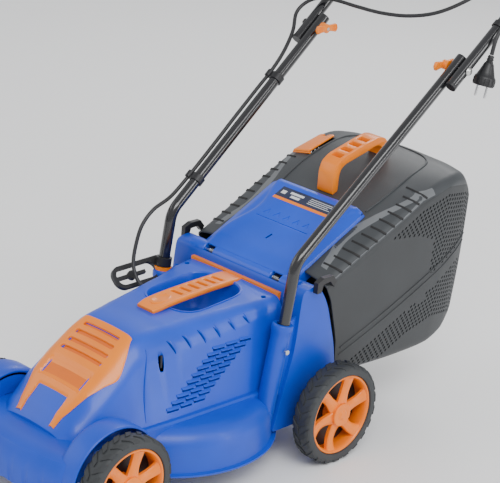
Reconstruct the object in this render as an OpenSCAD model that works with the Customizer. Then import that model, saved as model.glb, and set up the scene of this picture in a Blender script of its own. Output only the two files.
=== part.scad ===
// Corded rotary lawn mower: a moulded deck on four wheels, a universal motor under a hood,
// a belt-driven blade, a lift-off grass box behind and a two-part folding push handle.
// Millimetres, +Z up, the front bumper towards -Y, +X on the operator's left.
// Origin on the ground, under the middle of the whole mower.

/* [Overall] */
// Length from the front bumper to the back of the handle
mower_length = 1256; // [1200:2:1320]
// Distance from the blade spindle to the front of the bumper
bumper_reach = 332; // [326:1:340]
// Slope of the push handle in degrees
handle_angle = 39.5; // [37:0.5:42]
// Half width of the deck between the wheels
deck_half_w = 146; // [143:0.5:148]

/* [Wheels] */
// Rear axle behind the blade spindle
rear_axle_y = 212; // [206:1:216]
// Front axle ahead of the blade spindle
front_axle_y = 226; // [222:1:232]
// Rear tyre radius
rear_tyre_r = 85; // [80:0.5:90]
// Front tyre radius
front_tyre_r = 81; // [76:0.5:85]
// Rear tyre width
rear_tyre_w = 36; // [32:1:42]
// Front tyre width
front_tyre_w = 34; // [30:1:38]
// Room between the deck's side and the rear tyres
rear_wheel_gap = 24.5; // [20:0.5:30]
// Room between the deck's side and the front tyres
front_wheel_gap = 4.5; // [3:0.5:12]
// Height of the tyre over its rim
tyre_wall = 17; // [14:1:20]
// Radius of the wheel hubs
hub_r = 18; // [16:0.5:22]
// Radius of the steel axles
axle_r = 5; // [4:0.5:6.5]
// Travel of the axles between the highest and the lowest cut
cut_travel = 31; // [20:1:31]

/* [Deck] */
// Room between the blade's tips and the round blade housing
blade_room = 23; // [18:1:26]
// Height of the housing's lower flange over the ground
flange_z = 48; // [44:1:52]
// Height of the housing's flat top
dome_top_z = 122; // [118:1:126]
// Wall of the deck and hood mouldings
wall = 3.2; // [2.4:0.2:4]
// Width of the discharge tunnel
chute_w = 190; // [160:2:200]

/* [Blade drive] */
// Blade length, tip to tip
blade_l = 320; // [290:2:324]
// Blade thickness
blade_t = 3.5; // [2.5:0.5:5]
// Blade width
blade_w = 48; // [40:1:60]
// Height of the blade over the ground
blade_z = 60; // [57:0.5:63]
// Radius of the blade spindle
spindle_r = 8; // [6:0.5:10]
// Radius of the large belt pulley
driven_r = 62; // [56:1:66]
// Radius of the motor's belt pulley
drive_r = 17; // [15:0.5:20]
// Radius of the motor can
motor_r = 42; // [38:1:46]
// Height of the motor can
motor_h = 78; // [70:1:82]
// Distance from the spindle to the motor shaft
motor_reach = 118; // [112:1:122]

/* [Handle] */
// Outer radius of the handle tubes
tube_r = 9.5; // [8.5:0.5:11]
// Wall of the handle tubes
tube_wall = 1.2; // [1:0.1:2]
// Splay of the handle tubes in degrees
splay = 1.8; // [1:0.1:2.5]
// Backward lean of the tube stubs in degrees
stub_lean = 7.5; // [5:0.5:10]
// Length of the lower tubes from bend to bolt
lower_tube_l = 432; // [400:4:460]
// Radius of the handle bolts
bolt_r = 3; // [2.5:0.5:4]

/* [Grass box] */
// Half width of the grass box at its seam
box_half_w = 154; // [150:1:158]
// Wall of the grass box
box_wall = 2.4; // [1.6:0.2:3.2]

/* [Fits] */
// Radial clearance of turning fits
run_gap = 0.05; // [0.02:0.01:0.09]
// Gap between pieces that move past each other
body_gap = 0.6; // [0.4:0.1:1]
// Gap between fixed pieces that lie side by side
seat_gap = 0.1; // [0.05:0.05:0.2]

/* [Hidden] */
$fn = 48;
soft_fn = 24;

blue = "royalblue";
orange = "darkorange";
box_grey = "dimgray";
hair = 0.02;

// Wheels
rear_rim_r = rear_tyre_r - tyre_wall;
front_rim_r = front_tyre_r - tyre_wall + 1;
rear_face_x = deck_half_w + rear_wheel_gap + rear_tyre_w;
front_face_x = deck_half_w + front_wheel_gap + front_tyre_w;

// Blade housing
dome_r = blade_l / 2 + blade_room;
flange_lip = 7;
dome_shoulder_r = dome_r - 40;
dome_step_z = flange_z + 18;
plate_hole_r = 44;
chute_floor_z = 142;
chute_top_z = 262;

// Push handle, in the upright plane of each tube
corner_x = deck_half_w - 4.5;
corner_y = 135;
corner_z = 345;
stub_l = 185;
bend_r = 42;
bend_turn = 90 - stub_lean - handle_angle;
tube_tail = 22;
bolt_x = corner_x + lower_tube_l * cos(handle_angle) * sin(splay);
bolt_y = corner_y + lower_tube_l * cos(handle_angle) * cos(splay);
bolt_z = corner_z + lower_tube_l * sin(handle_angle);
tube_pitch = 2 * tube_r + body_gap;
leg_x = bolt_x + tube_pitch;
leg_tail = 34;
leg_splay = asin(sin(splay) * cos(handle_angle));
handle_run = (mower_length - bumper_reach - bolt_y - tube_r) / cos(handle_angle);
grip_bend_r = 45;
leg_l = (handle_run - grip_bend_r * (1 + sin(leg_splay))) / cos(leg_splay);
grip_half = leg_x + leg_l * sin(leg_splay) - grip_bend_r * cos(leg_splay);
socket_r = tube_r + 6;
head_r = 7;

// Rear flap hinge
hinge_y = 172;
hinge_z = 287;
hinge_r = 4;
barrel_r = 13;
ear_x = deck_half_w - 24;
flap_l = 190;
flap_slope = 26;
flap_half_w = deck_half_w - 45;
flap_t = 3;
spring_x = flap_half_w - 29;
spring_room = 11;

// Switch box on the left leg, and the bail's pivot
switch_s = 418;
switch_l = 114;
switch_h = 62;
bail_s = switch_s + 24;
bail_drop = -19;
bail_rest = 21;
bail_r = 3;
bail_corner = 24;
bail_y = bail_s * cos(leg_splay);
bail_tip_y = bolt_y + bail_y * cos(handle_angle) - bail_drop * sin(handle_angle)
  + (handle_run - bail_s) * cos(handle_angle - bail_rest) + bail_r;

// Blade spindle's place along Y, so that the origin is under the middle of the mower
deck_y = (bumper_reach - bail_tip_y) / 2;

// Motor cable from the hood, up the right tubes and over to the switch box
cable_d = 6.6;
cable_route = [
  [-97, 62, 231], [-120, 58, 236], [-134, 56, 248], [-147, 60, 268], [-154, 70, 296],
  [-157, 84, 326], [-157, 108, 349], [-157, 146, 365], [-157, 190, 399], [-158, 240, 441],
  [-160, 290, 483], [-162, 340, 524], [-163, 372, 550], [-168, 404, 578], [-180, 436, 608],
  [-197, 460, 634], [-192, 478, 652], [-172, 490, 663], [-142, 500, 664], [-100, 508, 661],
  [-50, 516, 660], [0, 528, 665], [45, 546, 679], [82, 574, 705], [110, 612, 739],
  [132, 660, 780], [147, 712, 824], [155, 758, 861], [158, 790, 885]
];
cable_sides = 10;

// Mains tail from the switch box to the plug, clipped along the left leg
tail_d = 7;
tail_x = 18;
tail_route = [
  [200, 790, 885], [199, 770, 869], [198, 742, 845], [197, 720, 826], [195, 680, 792],
  [193, 634, 756], [192, 590, 722], [190, 548, 702], [190, 522, 674], [190, 513, 644]
];
plug_lean = -15;
plug_l = 38;
plug_neck = 14;
pin_r = 2.4;
pin_l = 19;
pin_pitch = 19;

// ---- helpers ----

// Places what is drawn around the blade spindle
module at_deck() {
  translate([0, deck_y, 0]) children();
}

// Draws both sides of a mirrored pair
module pair() {
  children();
  mirror([1, 0, 0]) children();
}

module side_of(side) {
  mirror([side > 0 ? 0 : 1, 0, 0]) children();
}

// Cylinder along X from x0 to x1
module x_rod(r, x0, x1) {
  translate([x0, 0, 0]) rotate([0, 90, 0]) cylinder(h = x1 - x0, r = r);
}

// Cylinder along Y from y0 to y1
module y_rod(r, y0, y1) {
  translate([0, y0, 0]) rotate([-90, 0, 0]) cylinder(h = y1 - y0, r = r);
}

module block(low, high) {
  translate(low) cube(high - low);
}

// Plate of a side outline [y, z], from x0 to x1
module side_plate(outline, x0, x1) {
  translate([x0, 0, 0]) rotate([90, 0, 90]) linear_extrude(x1 - x0) polygon(outline);
}

// Box with four corners rounded about Z
module round_box(low, high, r) {
  d = high - low;
  translate(low) {
    translate([r, 0, 0]) cube([d.x - 2 * r, d.y, d.z]);
    translate([0, r, 0]) cube([d.x, d.y - 2 * r, d.z]);
    for (x = [r, d.x - r], y = [r, d.y - r]) translate([x, y, 0]) cylinder(h = d.z, r = r, $fn = soft_fn);
  }
}

// Solid skin over a row of rings that have equal numbers of points
module loft(rings) {
  n = len(rings[0]);
  m = len(rings);
  points = [for (r = rings) each r];
  skin = [
    for (i = [0 : m - 2], j = [0 : n - 1])
      let (a = i * n + j, b = i * n + (j + 1) % n, c = a + n, d = b + n)
      each [[a, c, b], [b, c, d]]
  ];
  ends = [[for (j = [0 : n - 1]) j], [for (j = [n - 1 : -1 : 0]) (m - 1) * n + j]];
  polyhedron(points, concat(skin, ends));
}

function unit(v) = v / norm(v);
function heading(path, i) = unit(path[min(i + 1, len(path) - 1)] - path[max(i - 1, 0)]);

// A direction square to a heading
function side_dir(h) = unit(cross(h, abs(h.z) < 0.9 ? [0, 0, 1] : [0, 1, 0]));

// Sideways direction carried from ring to ring, so that the tube never twists
function carried(path, i) = i == 0
  ? side_dir(heading(path, 0))
  : let (h = heading(path, i), s = carried(path, i - 1)) unit(s - h * (s * h));

// Moulding whose skin is the hull of each pair of neighbouring rings
module moulding(rings) {
  for (i = [0 : len(rings) - 2]) hull() loft([rings[i], rings[i + 1]]);
}

// Round tube swept along a path
module swept(path, r, n) {
  loft([
    for (i = [0 : len(path) - 1])
      let (h = heading(path, i), a = carried(path, i), b = cross(h, a))
      [for (k = [n - 1 : -1 : 0]) path[i] + r * (cos(360 * k / n) * a + sin(360 * k / n) * b)]
  ]);
}

// Smooth curve through the points of a route, with the given steps in each span
function spline_point(a, b, c, d, t) = 0.5 * (2 * b + (c - a) * t
  + (2 * a - 5 * b + 4 * c - d) * t * t + (3 * b - a - 3 * c + d) * t * t * t);
function smooth(route, steps) = [
  for (i = [0 : len(route) - 2], k = [0 : steps - 1])
    spline_point(route[max(i - 1, 0)], route[i], route[i + 1], route[min(i + 2, len(route) - 1)],
        k / steps),
  route[len(route) - 1]
];

// ---- deck ----

// Wall of the round blade housing, or its whole outer solid
module dome(solid = false) {
  outer = [
    [dome_r + flange_lip, flange_z], [dome_r + flange_lip, flange_z + 4], [dome_r, flange_z + 4],
    [dome_r, dome_step_z], [dome_r - 12, dome_step_z + 11], [dome_shoulder_r, dome_top_z - 4],
    [dome_shoulder_r - 10, dome_top_z]
  ];
  inner = [
    [dome_shoulder_r - 11, dome_top_z - wall], [dome_shoulder_r - wall, dome_top_z - 4 - wall],
    [dome_r - 12 - wall, dome_step_z + 11 - wall], [dome_r - wall, dome_step_z - 1], [dome_r - wall,
        flange_z]
  ];
  rotate_extrude($fn = 96) polygon(solid
    ? concat([[0, flange_z]], outer, [[0, dome_top_z]])
    : concat(outer, [[plate_hole_r, dome_top_z], [plate_hole_r, dome_top_z - wall]], inner));
}

// Bumper block with a bowed front, shrunk on every side by inset
module bumper_solid(inset) {
  bow_r = 420;
  low = inset > 0 ? 1 : 0;
  intersection() {
    translate([0, bow_r - bumper_reach, 0]) cylinder(h = 400, r = bow_r - inset, $fn = 160);
    side_plate([
      [-bumper_reach - 1, 62 - low], [-bumper_reach - 1, 98 - inset], [-bumper_reach + 16, 113 - inset],
      [-bumper_reach + 60, 119 - inset], [-front_axle_y + 40, dome_top_z - inset],
      [-front_axle_y + 90, dome_top_z - inset], [-front_axle_y + 90, 62 - low]
    ], -deck_half_w + inset, deck_half_w - inset);
  }
}

// Raised arch beside each front wheel
module front_arch(inset) {
  r = front_tyre_r - 2 - inset;
  intersection() {
    translate([0, -front_axle_y, front_tyre_r]) x_rod(r, deck_half_w - 30 + inset, deck_half_w - inset);
    block([0, -bumper_reach, 62 - (inset > 0 ? 1 : 0)], [deck_half_w, 0, 300]);
  }
}

// Rear housing, shrunk on every side by inset
module rear_solid(inset) {
  low = inset > 0 ? -1 : 0;
  side_plate([
    [112 + inset, 60 + low], [148 + inset, 196], [152 + inset, 262 - inset / 2], [156 + inset, 293 - inset],
    [190 - inset, 298 - inset], [216 - inset, 262 - inset / 2], [242 - inset, 184], [250 - inset, 142],
    [252 - inset, 96], [244 - inset, 60 + low]
  ], -deck_half_w + inset, deck_half_w - inset);
}

// Discharge tunnel outline, grown on every side by grow
module chute(grow) {
  side_plate([
    [104 - grow, 78], [150, chute_floor_z - 16 - grow], [192, chute_floor_z - grow], [262,
        chute_floor_z - grow],
    [262, chute_top_z + grow], [138 - grow, chute_top_z + grow - 20], [104 - grow, dome_top_z + 30]
  ], -chute_w / 2 - grow, chute_w / 2 + grow);
}

// Lets the flap, its barrel and its springs turn between the hinge ears
module hinge_room() {
  translate([0, hinge_y, hinge_z]) x_rod(barrel_r + 2, -ear_x, ear_x);
  block([-ear_x, hinge_y, hinge_z - 12], [ear_x, hinge_y + 90, hinge_z + 60]);
  block([-ear_x, 120, hinge_z - 8], [ear_x, hinge_y, hinge_z + 60]);
}

// Slots that the axles slide in
module axle_slots() {
  for (p = [[-front_axle_y, front_tyre_r], [rear_axle_y, rear_tyre_r]]) translate([0, p.x, p.y]) {
    x_rod(axle_r + 0.3, -deck_half_w - 20, deck_half_w + 20);
    block([-deck_half_w - 20, -axle_r - 0.3, 0], [deck_half_w + 20, axle_r + 0.3, cut_travel]);
    translate([0, 0, cut_travel]) x_rod(axle_r + 0.3, -deck_half_w - 20, deck_half_w + 20);
  }
}

// Places what is drawn along a tube stub, its axis on +Z from the stub's foot
module at_stub() {
  translate([corner_x, corner_y, corner_z]) rotate([-stub_lean, 0, -splay]) translate([0, 0,
      -stub_l]) children();
}

// Socket of a tube stub, carried down to the blade housing, with a web to the rear housing
socket_l = 84;
module socket() {
  at_stub() translate([0, 0, -95]) cylinder(h = socket_l + 95, r = socket_r);
  side_plate([[106, 90], [124, 90], [150, 190], [154, 240], [120, 240]], deck_half_w - 8, deck_half_w - 2);
}

module deck() {
  color(blue) at_deck() difference() {
    union() {
      dome();
      difference() {
        union() {
          bumper_solid(0);
          pair() front_arch(0);
        }
        bumper_solid(wall);
        pair() front_arch(wall);
        dome(solid = true);
      }
      difference() {
        union() {
          rear_solid(0);
          pair() socket();
        }
        difference() {
          rear_solid(wall);
          chute(wall);
          pair() socket();
        }
        dome(solid = true);
      }
    }
    chute(0);
    hinge_room();
    axle_slots();
    pair() at_stub() {
      cylinder(h = socket_l + 20, r = tube_r + seat_gap);
      translate([0, 0, socket_l / 2]) x_rod(2.1, 0, socket_r + 8);
    }
    translate([0, hinge_y, hinge_z]) x_rod(hinge_r + seat_gap, -deck_half_w + 6, deck_half_w - 6);
    for (a = [45 : 90 : 315]) rotate(a) translate([plate_hole_r + 7, 0, dome_top_z - 10])
        cylinder(h = 20, r = 2.2);
  }
}

// ---- hood ----

// One cross-section of the hood: base, shoulder and top edges on both sides
function hood_ring(y, base, shoulder, top, grow) =
  let (b = [base.x + grow, base.y], s = [shoulder.x + grow, shoulder.y + grow / 2],
      t = [top.x + grow / 2, top.y + grow])
  [
    [b.x, y, b.y], [s.x, y, s.y], [t.x, y, t.y], [0, y, t.y + 3],
    [-t.x, y, t.y], [-s.x, y, s.y], [-b.x, y, b.y]
  ];

hood_base_z = dome_top_z + 1;
module hood_solid(grow) {
  y_in = min(grow, 0);
  moulding([
    hood_ring(-268 - y_in, [64, hood_base_z], [60, 124], [46, 126], grow),
    hood_ring(-250, [84, hood_base_z], [74, 138], [50, 146], grow),
    hood_ring(-215, [98, hood_base_z], [82, 164], [58, 182], grow),
    hood_ring(-165, [108, hood_base_z], [82, 198], [58, 220], grow),
    hood_ring(-124, [112, hood_base_z], [80, 226], [57, 250], grow),
    hood_ring(-60, [115, hood_base_z], [90, 236], [66, 257], grow),
    hood_ring(60, [117, hood_base_z], [101, 248], [86, 266], grow),
    hood_ring(146 + y_in, [119, hood_base_z], [110, 262], [100, 273], grow)
  ]);
}

// Outline of the grille seen from above, grown by grow
module grille_prism(grow) {
  g = grow;
  translate([0, 0, 100]) linear_extrude(200) polygon([
    [-55 - g, -124 + g], [55 + g, -124 + g], [78 + g, -168], [64 + g, -214], [44 + g, -262 - g],
        [36 - g, -262 - g],
    [31 - g, -244 - g], [-31 + g, -244 - g], [-36 + g, -262 - g], [-44 - g, -262 - g], [-64 - g,
        -214], [-78 - g, -168]
  ]);
}

screw_x = 88;
screw_y = [-92, 126];

// Finger room under the carry handle
recess_y = [-14, 128];
module recess(grow) {
  round_box([-58 - grow, recess_y[0] - grow, 214 - grow], [58 + grow, recess_y[1] + grow, 300], 40);
}

module hood() {
  color(blue) at_deck() difference() {
    union() {
      difference() {
        hood_solid(0);
        difference() {
          hood_solid(-wall);
          recess(wall);
        }
        block([-130, -300, hood_base_z - 5], [130, 200, hood_base_z]);
      }
      intersection() {
        hood_solid(0);
        pair() for (y = screw_y) translate([screw_x, y, 216]) cylinder(h = 100, r = 6, $fn = 16);
      }
    }
    recess(0);
    grille_window();
    // Cooling slits over both shoulders
    pair() for (i = [0 : 5]) translate([93, -66 + i * 30, 222 + i * 4]) rotate([12, 0, 0])
      block([-12, -1.5, 0], [16, 1.5, 30]);
    pair() for (y = screw_y) translate([screw_x, y, 200]) cylinder(h = 120, r = 2.4, $fn = 16);
    // Cable outlet
    translate(cable_route[0]) x_rod(cable_d / 2 + 0.5, -20, 20);
    pair() at_stub() translate([0, 0, -31]) cylinder(h = 230, r = socket_r + 1);
    rear_solid(-0.4);
  }
}

// Air intake behind the grille
module grille_window() {
  block([-44, -226, 150], [44, -132, 300]);
}

// Skin of the hood between two distances from its surface
module hood_skin(low, high) {
  difference() {
    hood_solid(high);
    hood_solid(low);
  }
}

module front_grille() {
  color(orange) at_deck() difference() {
    union() {
      intersection() {
        hood_skin(0.3, 3.6);
        grille_prism(0);
      }
      // Bright ledge over the lower recess
      intersection() {
        hood_skin(3, 6);
        block([-50, -220, 100], [50, -214, 300]);
      }
    }
    for (i = [0 : 3]) block([-46 - 2 * i, -139 - 13 * i, 150], [46 + 2 * i, -132 - 13 * i, 300]);
  }
}

module carry_handle() {
  w = 21;
  color(orange) at_deck() difference() {
    side_plate([
      [-46, 259], [-46, 263], [-42, 265], [-20, 268], [20, 271], [90, 274.5], [136, 277], [146.5, 277.5],
      [146.5, 273.5], [129, 273], [126, 270], [90, 266.5], [20, 262.5], [-13, 260.5], [-16, 259]
    ], -w, w);
    for (i = [0 : 4]) block([-12, 18 + i * 20, 250], [12, 27 + i * 20, 300]);
  }
}

module rear_trim() {
  color(orange) at_deck() difference() {
    block([-100, 147, 262], [100, 156, 278]);
    translate([0, hinge_y, hinge_z]) x_rod(barrel_r + 3, -130, 130);
    rear_solid(-0.2);
  }
}

module hinge_rod() {
  color("silver") at_deck() translate([0, hinge_y, hinge_z]) x_rod(hinge_r, -deck_half_w + 6.5,
      deck_half_w - 6.5);
}

module hood_screws() {
  color("dimgray") at_deck() pair() for (i = [0, 1]) translate([screw_x, screw_y[i], 222 + 26 * i]) {
    translate([0, 0, -16]) cylinder(h = 20, r = 2.2);
  }
}

// ---- handle tubes ----

// Round bend about Z, a touch thinner than the straight bars of radius r and reaching into both
module bend(bend_radius, turn, r) {
  reach = 2;
  rotate(-reach) rotate_extrude(angle = turn + 2 * reach) translate([bend_radius, 0]) circle(r = r - 0.1);
}

// Bent bar of a lower tube, its corner at the local origin in the YZ plane, open_end longer at both ends
module lower_run(r, open_end) {
  t = bend_r * tan(bend_turn / 2);
  foot = stub_l - 1 + open_end;
  rotate([-stub_lean, 0, 0]) {
    translate([0, 0, -foot]) cylinder(h = foot - t, r = r);
    translate([0, bend_r, -t]) rotate([0, 90, 0]) rotate(-90 - bend_turn) bend(bend_r, bend_turn, r);
  }
  rotate([handle_angle - 90, 0, 0]) translate([0, 0, t])
      cylinder(h = lower_tube_l + tube_tail + open_end - t, r = r);
}

module lower_tube(side) {
  color([0.06, 0.06, 0.07]) at_deck() side_of(side) difference() {
    translate([corner_x, corner_y, corner_z]) rotate([0, 0, -splay]) difference() {
      lower_run(tube_r, 0);
      lower_run(tube_r - tube_wall, 1);
    }
    translate([0, bolt_y, bolt_z]) x_rod(bolt_r + run_gap, bolt_x - 30, bolt_x + 30);
    at_stub() translate([0, 0, socket_l / 2]) x_rod(2.2, 0, 30);
  }
}

module tube_screws() {
  color("silver") at_deck() pair() at_stub() translate([0, 0, socket_l / 2]) {
    x_rod(2, tube_r - 3, socket_r + 1.5);
    x_rod(4, socket_r + 0.2, socket_r + 3);
  }
}

// Places what is drawn from the bolts along the handle's slope: X across, Y up the slope
module at_slope() {
  translate([0, bolt_y, bolt_z]) rotate([handle_angle, 0, 0]) children();
}

module leg_frame() {
  translate([leg_x, 0, 0]) rotate([0, 0, -leg_splay]) children();
}

// Two legs, two bends and the grip bar, with legs longer by open_end
module upper_run(r, open_end) {
  pair() leg_frame() {
    y_rod(r, -leg_tail - open_end, leg_l);
    translate([-grip_bend_r, leg_l, 0]) bend(grip_bend_r, 90 + leg_splay, r);
  }
  translate([0, handle_run, 0]) x_rod(r, -grip_half, grip_half);
}

module upper_handle() {
  color([0.06, 0.06, 0.07]) at_deck() at_slope() difference() {
    upper_run(tube_r, 0);
    upper_run(tube_r - tube_wall, 1);
    pair() x_rod(bolt_r + seat_gap, leg_x - 20, leg_x + 20);
  }
}

module tube_caps() {
  color("black") at_deck() at_slope() pair() leg_frame() {
    translate([0, -leg_tail - seat_gap, 0]) y_rod(tube_r + 0.2, -5, 0);
    translate([0, -leg_tail, 0]) y_rod(tube_r - tube_wall - seat_gap, -0.2, 9);
  }
}

knob_l = 14;
module handle_bolts() {
  color("silver") at_deck() at_slope() pair() {
    x_rod(bolt_r, bolt_x - tube_r - knob_l - 2, leg_x + tube_r + 2);
    // Domed head
    translate([leg_x + tube_r + 3 * seat_gap, 0, 0]) rotate([0, 90, 0]) rotate_extrude()
      polygon([[0, 0], [head_r, 0], [head_r, 1], [head_r - 1.5, 3], [head_r - 4, 4.2], [0, 4.6]]);
  }
}

module wing_knob(side) {
  color(orange) at_deck() at_slope() side_of(side) translate([bolt_x - tube_r - body_gap, 0, 0])
    rotate([-handle_angle, 0, 0]) difference() {
      union() {
        x_rod(9, -knob_l, 0);
        translate([-knob_l, 0, 0]) side_plate([
          [-26, -1], [-24, 7], [-14, 9], [0, 9], [14, 9], [24, 7], [26, -1], [20, -6], [8, -9], [-8,
              -9], [-20, -6]
        ], 0, 8);
      }
      x_rod(bolt_r + run_gap, -knob_l - 1, 1);
    }
}

// Outlet clips that hold the motor cable on the right lower tube
clip_s = [66, 300];
module cable_clips() {
  color("black") at_deck() side_of(-1) translate([corner_x, corner_y, corner_z]) rotate([0, 0, -splay])
    rotate([handle_angle - 90, 0, 0]) for (s = clip_s) translate([0, 0, s]) difference() {
      union() {
        cylinder(h = 12, r = tube_r + 2.4);
        translate([tube_r + 4, -8, 0]) cylinder(h = 12, r = cable_d / 2 + 2);
      }
      translate([0, 0, -1]) cylinder(h = 14, r = tube_r + seat_gap);
      translate([tube_r + 4, -8, -1]) cylinder(h = 14, r = cable_d / 2 + 0.3);
    }
}

// Tilted loop at the foot of the right stub that takes the extension lead
module at_hook() {
  translate([-corner_x - 6, corner_y - 56, 246]) rotate([4, 42, 0]) children();
}

module hook_plate(grow) {
  round_box([-21 - grow, -58 - grow, -3.5 - grow], [21 + grow, 58 + grow, 3.5 + grow], 18);
}

module cord_hook() {
  color("black") at_deck() difference() {
    union() {
      at_hook() difference() {
        hook_plate(0);
        difference() {
          round_box([-14, -51, -5], [14, 30, 5], 12);
          block([-3, -52, -6], [3, 8, 6]);
          translate([0, -20, 0]) cylinder(h = 12, r = 8, center = true);
        }
      }
      side_of(-1) at_stub() translate([0, 0, socket_l + 7]) cylinder(h = 15, r = tube_r + 4);
    }
    side_of(-1) at_stub() cylinder(h = 300, r = tube_r + seat_gap);
    side_of(-1) at_stub() cylinder(h = socket_l + seat_gap, r = socket_r + seat_gap);
  }
}

module hook_bracket() {
  color(orange) at_deck() difference() {
    side_of(-1) at_stub() translate([0, 0, socket_l + 0.3]) cylinder(h = 6, r = socket_r);
    side_of(-1) at_stub() cylinder(h = 300, r = tube_r + seat_gap);
    at_hook() hook_plate(seat_gap);
  }
}

// ---- blade drive ----

plate_z = dome_top_z + seat_gap;
belt_z = dome_top_z + 24;
belt_t = 4;
belt_w = 10;

module bearing_plate() {
  color("gray") at_deck() difference() {
    union() {
      translate([0, 0, plate_z]) cylinder(h = 4, r = plate_hole_r + 12);
      translate([0, 0, dome_top_z - 26]) cylinder(h = 44, r = 24);
      translate([0, 0, plate_z]) round_box([-46, -motor_reach - 46, 0], [46, -20, 4], 12);
    }
    translate([0, 0, 0]) cylinder(h = 300, r = spindle_r + 5);
    for (z = [dome_top_z - 27, dome_top_z + 8]) translate([0, 0, z]) cylinder(h = 11, r = 17.5 + seat_gap);
    translate([0, -motor_reach, 0]) cylinder(h = 200, r = 12);
    for (a = [45 : 90 : 315]) rotate(a) translate([plate_hole_r + 7, 0, 0]) cylinder(h = 200, r = 2.2);
  }
}

// Sealed ball bearing standing on z = 0
module ball_bearing(bore, outer, h) {
  rotate_extrude() polygon([
    [bore, 0], [bore + 2.5, 0], [bore + 3, 0.6], [outer - 3, 0.6], [outer - 2.5, 0], [outer, 0],
    [outer, h], [outer - 2.5, h], [outer - 3, h - 0.6], [bore + 3, h - 0.6], [bore + 2.5, h], [bore, h]
  ]);
}

// Two bearings for the blade spindle and two for the motor shaft
module bearings() {
  color("silver") at_deck() {
    for (z = [dome_top_z - 27, dome_top_z + 8])
      translate([0, 0, z + seat_gap]) ball_bearing(spindle_r + run_gap, 17.5, 10);
    at_motor() for (z = [motor_z + case_h, motor_z + motor_h + 1])
      translate([0, 0, z + seat_gap]) ball_bearing(4 + run_gap, 11, 7);
  }
}

module spindle() {
  foot = blade_z + blade_t + 8;
  color("silver") at_deck() difference() {
    translate([0, 0, foot]) cylinder(h = dome_top_z + 36 - foot, r = spindle_r);
    // Threaded hole for the blade bolt
    translate([0, 0, foot - 1]) cylinder(h = 14, r = 4);
  }
}

module driven_pulley() {
  color([0.2, 0.2, 0.22]) at_deck() translate([0, 0, belt_z]) difference() {
    union() {
      cylinder(h = belt_w, r = driven_r);
      for (z = [-1.6, belt_w]) translate([0, 0, z]) cylinder(h = 1.6, r = driven_r + 3);
    }
    translate([0, 0, -5]) cylinder(h = 30, r = spindle_r);
    for (a = [0 : 60 : 300]) rotate(a) translate([driven_r * 0.6, 0, -5]) cylinder(h = 30, r = 12);
  }
}

module blade_adaptor() {
  color([0.15, 0.15, 0.16]) at_deck() difference() {
    union() {
      translate([0, 0, blade_z + blade_t]) cylinder(h = 16, r = 20);
      for (a = [0 : 60 : 300]) rotate(a) translate([18, -1.5, blade_z + blade_t]) cube([32, 3, 14]);
    }
    translate([0, 0, blade_z + blade_t + 8]) cylinder(h = 20, r = spindle_r);
    translate([0, 0, blade_z]) cylinder(h = 20, r = 4);
  }
}

module blade() {
  half = blade_l / 2;
  color([0.25, 0.26, 0.28]) at_deck() translate([0, 0, blade_z]) difference() {
    union() {
      block([-half, -blade_w / 2, 0], [half, blade_w / 2, blade_t]);
      // Turned-up wings that lift the cut grass
      for (a = [0, 180]) rotate(a) translate([half - 70, 0, 0])
        side_plate([[0, 0], [blade_w / 2, 0], [blade_w / 2 + 8, 10], [blade_w / 2 + 5, 12],
            [blade_w / 2 - 3, blade_t]], 0, 70);
    }
    translate([0, 0, -1]) cylinder(h = 10, r = 4.1);
    for (a = [0, 180]) rotate(a) translate([half - 80, -blade_w / 2 - hair, -hair])
      side_plate([[0, 0], [6, 0], [0, blade_t + 0.1]], 0, 81);
  }
}

module blade_bolt() {
  color("silver") at_deck() {
    translate([0, 0, blade_z - 9]) cylinder(h = 6, r = 7.5, $fn = 6);
    translate([0, 0, blade_z - 3 + hair]) cylinder(h = 3 - 2 * hair, r = 12);
    translate([0, 0, blade_z - 3]) cylinder(h = 18, r = 3.95);
  }
}

module at_motor() {
  translate([0, -motor_reach, 0]) children();
}

motor_z = dome_top_z + 4 + 2 * seat_gap;
// Height of the belt's space under the motor, and of the can's floor over it
case_h = 33;
floor_h = 3;
module motor_can() {
  color([0.12, 0.12, 0.13]) at_deck() at_motor() difference() {
    translate([0, 0, motor_z]) cylinder(h = motor_h + 6, r = motor_r);
    translate([0, 0, motor_z + case_h + floor_h]) cylinder(h = motor_h + 2 - case_h - floor_h,
        r = motor_r - 2.5);
    translate([0, 0, motor_z - 1]) cylinder(h = case_h + 1, r = motor_r - 2.5);
    cylinder(h = 400, r = 8);
    translate([0, 0, motor_z + case_h]) cylinder(h = 10, r = 11 + seat_gap);
    translate([0, 0, motor_z + motor_h + 1]) cylinder(h = 10, r = 11 + seat_gap);
    block([-motor_r - 5, 0, motor_z - 1], [motor_r + 5, motor_r + 5, motor_z + case_h - 1]);
    for (a = [0 : 45 : 315]) rotate(a) translate([motor_r - 14, 0, motor_z + motor_h])
        cylinder(h = 10, r = 4);
    for (a = [22.5 : 45 : 337.5]) rotate(a) translate([motor_r - 5, -5, motor_z + case_h + 9])
        cube([8, 10, 26]);
  }
}

module motor_stator() {
  color("peru") at_deck() at_motor() translate([0, 0, motor_z + case_h + 11]) difference() {
    cylinder(h = 32, r = motor_r - 2.6);
    translate([0, 0, -1]) cylinder(h = 40, r = 24);
    pair() translate([motor_r - 12, 0, -1]) cylinder(h = 40, r = 5);
  }
}

module armature() {
  color("sienna") at_deck() at_motor() {
    translate([0, 0, dome_top_z + 8]) cylinder(h = motor_z + motor_h + 4 - dome_top_z - 8, r = 4);
    translate([0, 0, motor_z + case_h + 13]) cylinder(h = 28, r = 23);
    translate([0, 0, motor_z + case_h + 9]) cylinder(h = 4, r = 14);
  }
}

module drive_pulley() {
  color([0.2, 0.2, 0.22]) at_deck() at_motor() translate([0, 0, belt_z]) difference() {
    union() {
      cylinder(h = belt_w, r = drive_r);
      for (z = [-1.6, belt_w]) translate([0, 0, z]) cylinder(h = 1.6, r = drive_r + 3);
    }
    translate([0, 0, -5]) cylinder(h = 30, r = 4);
  }
}

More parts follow.
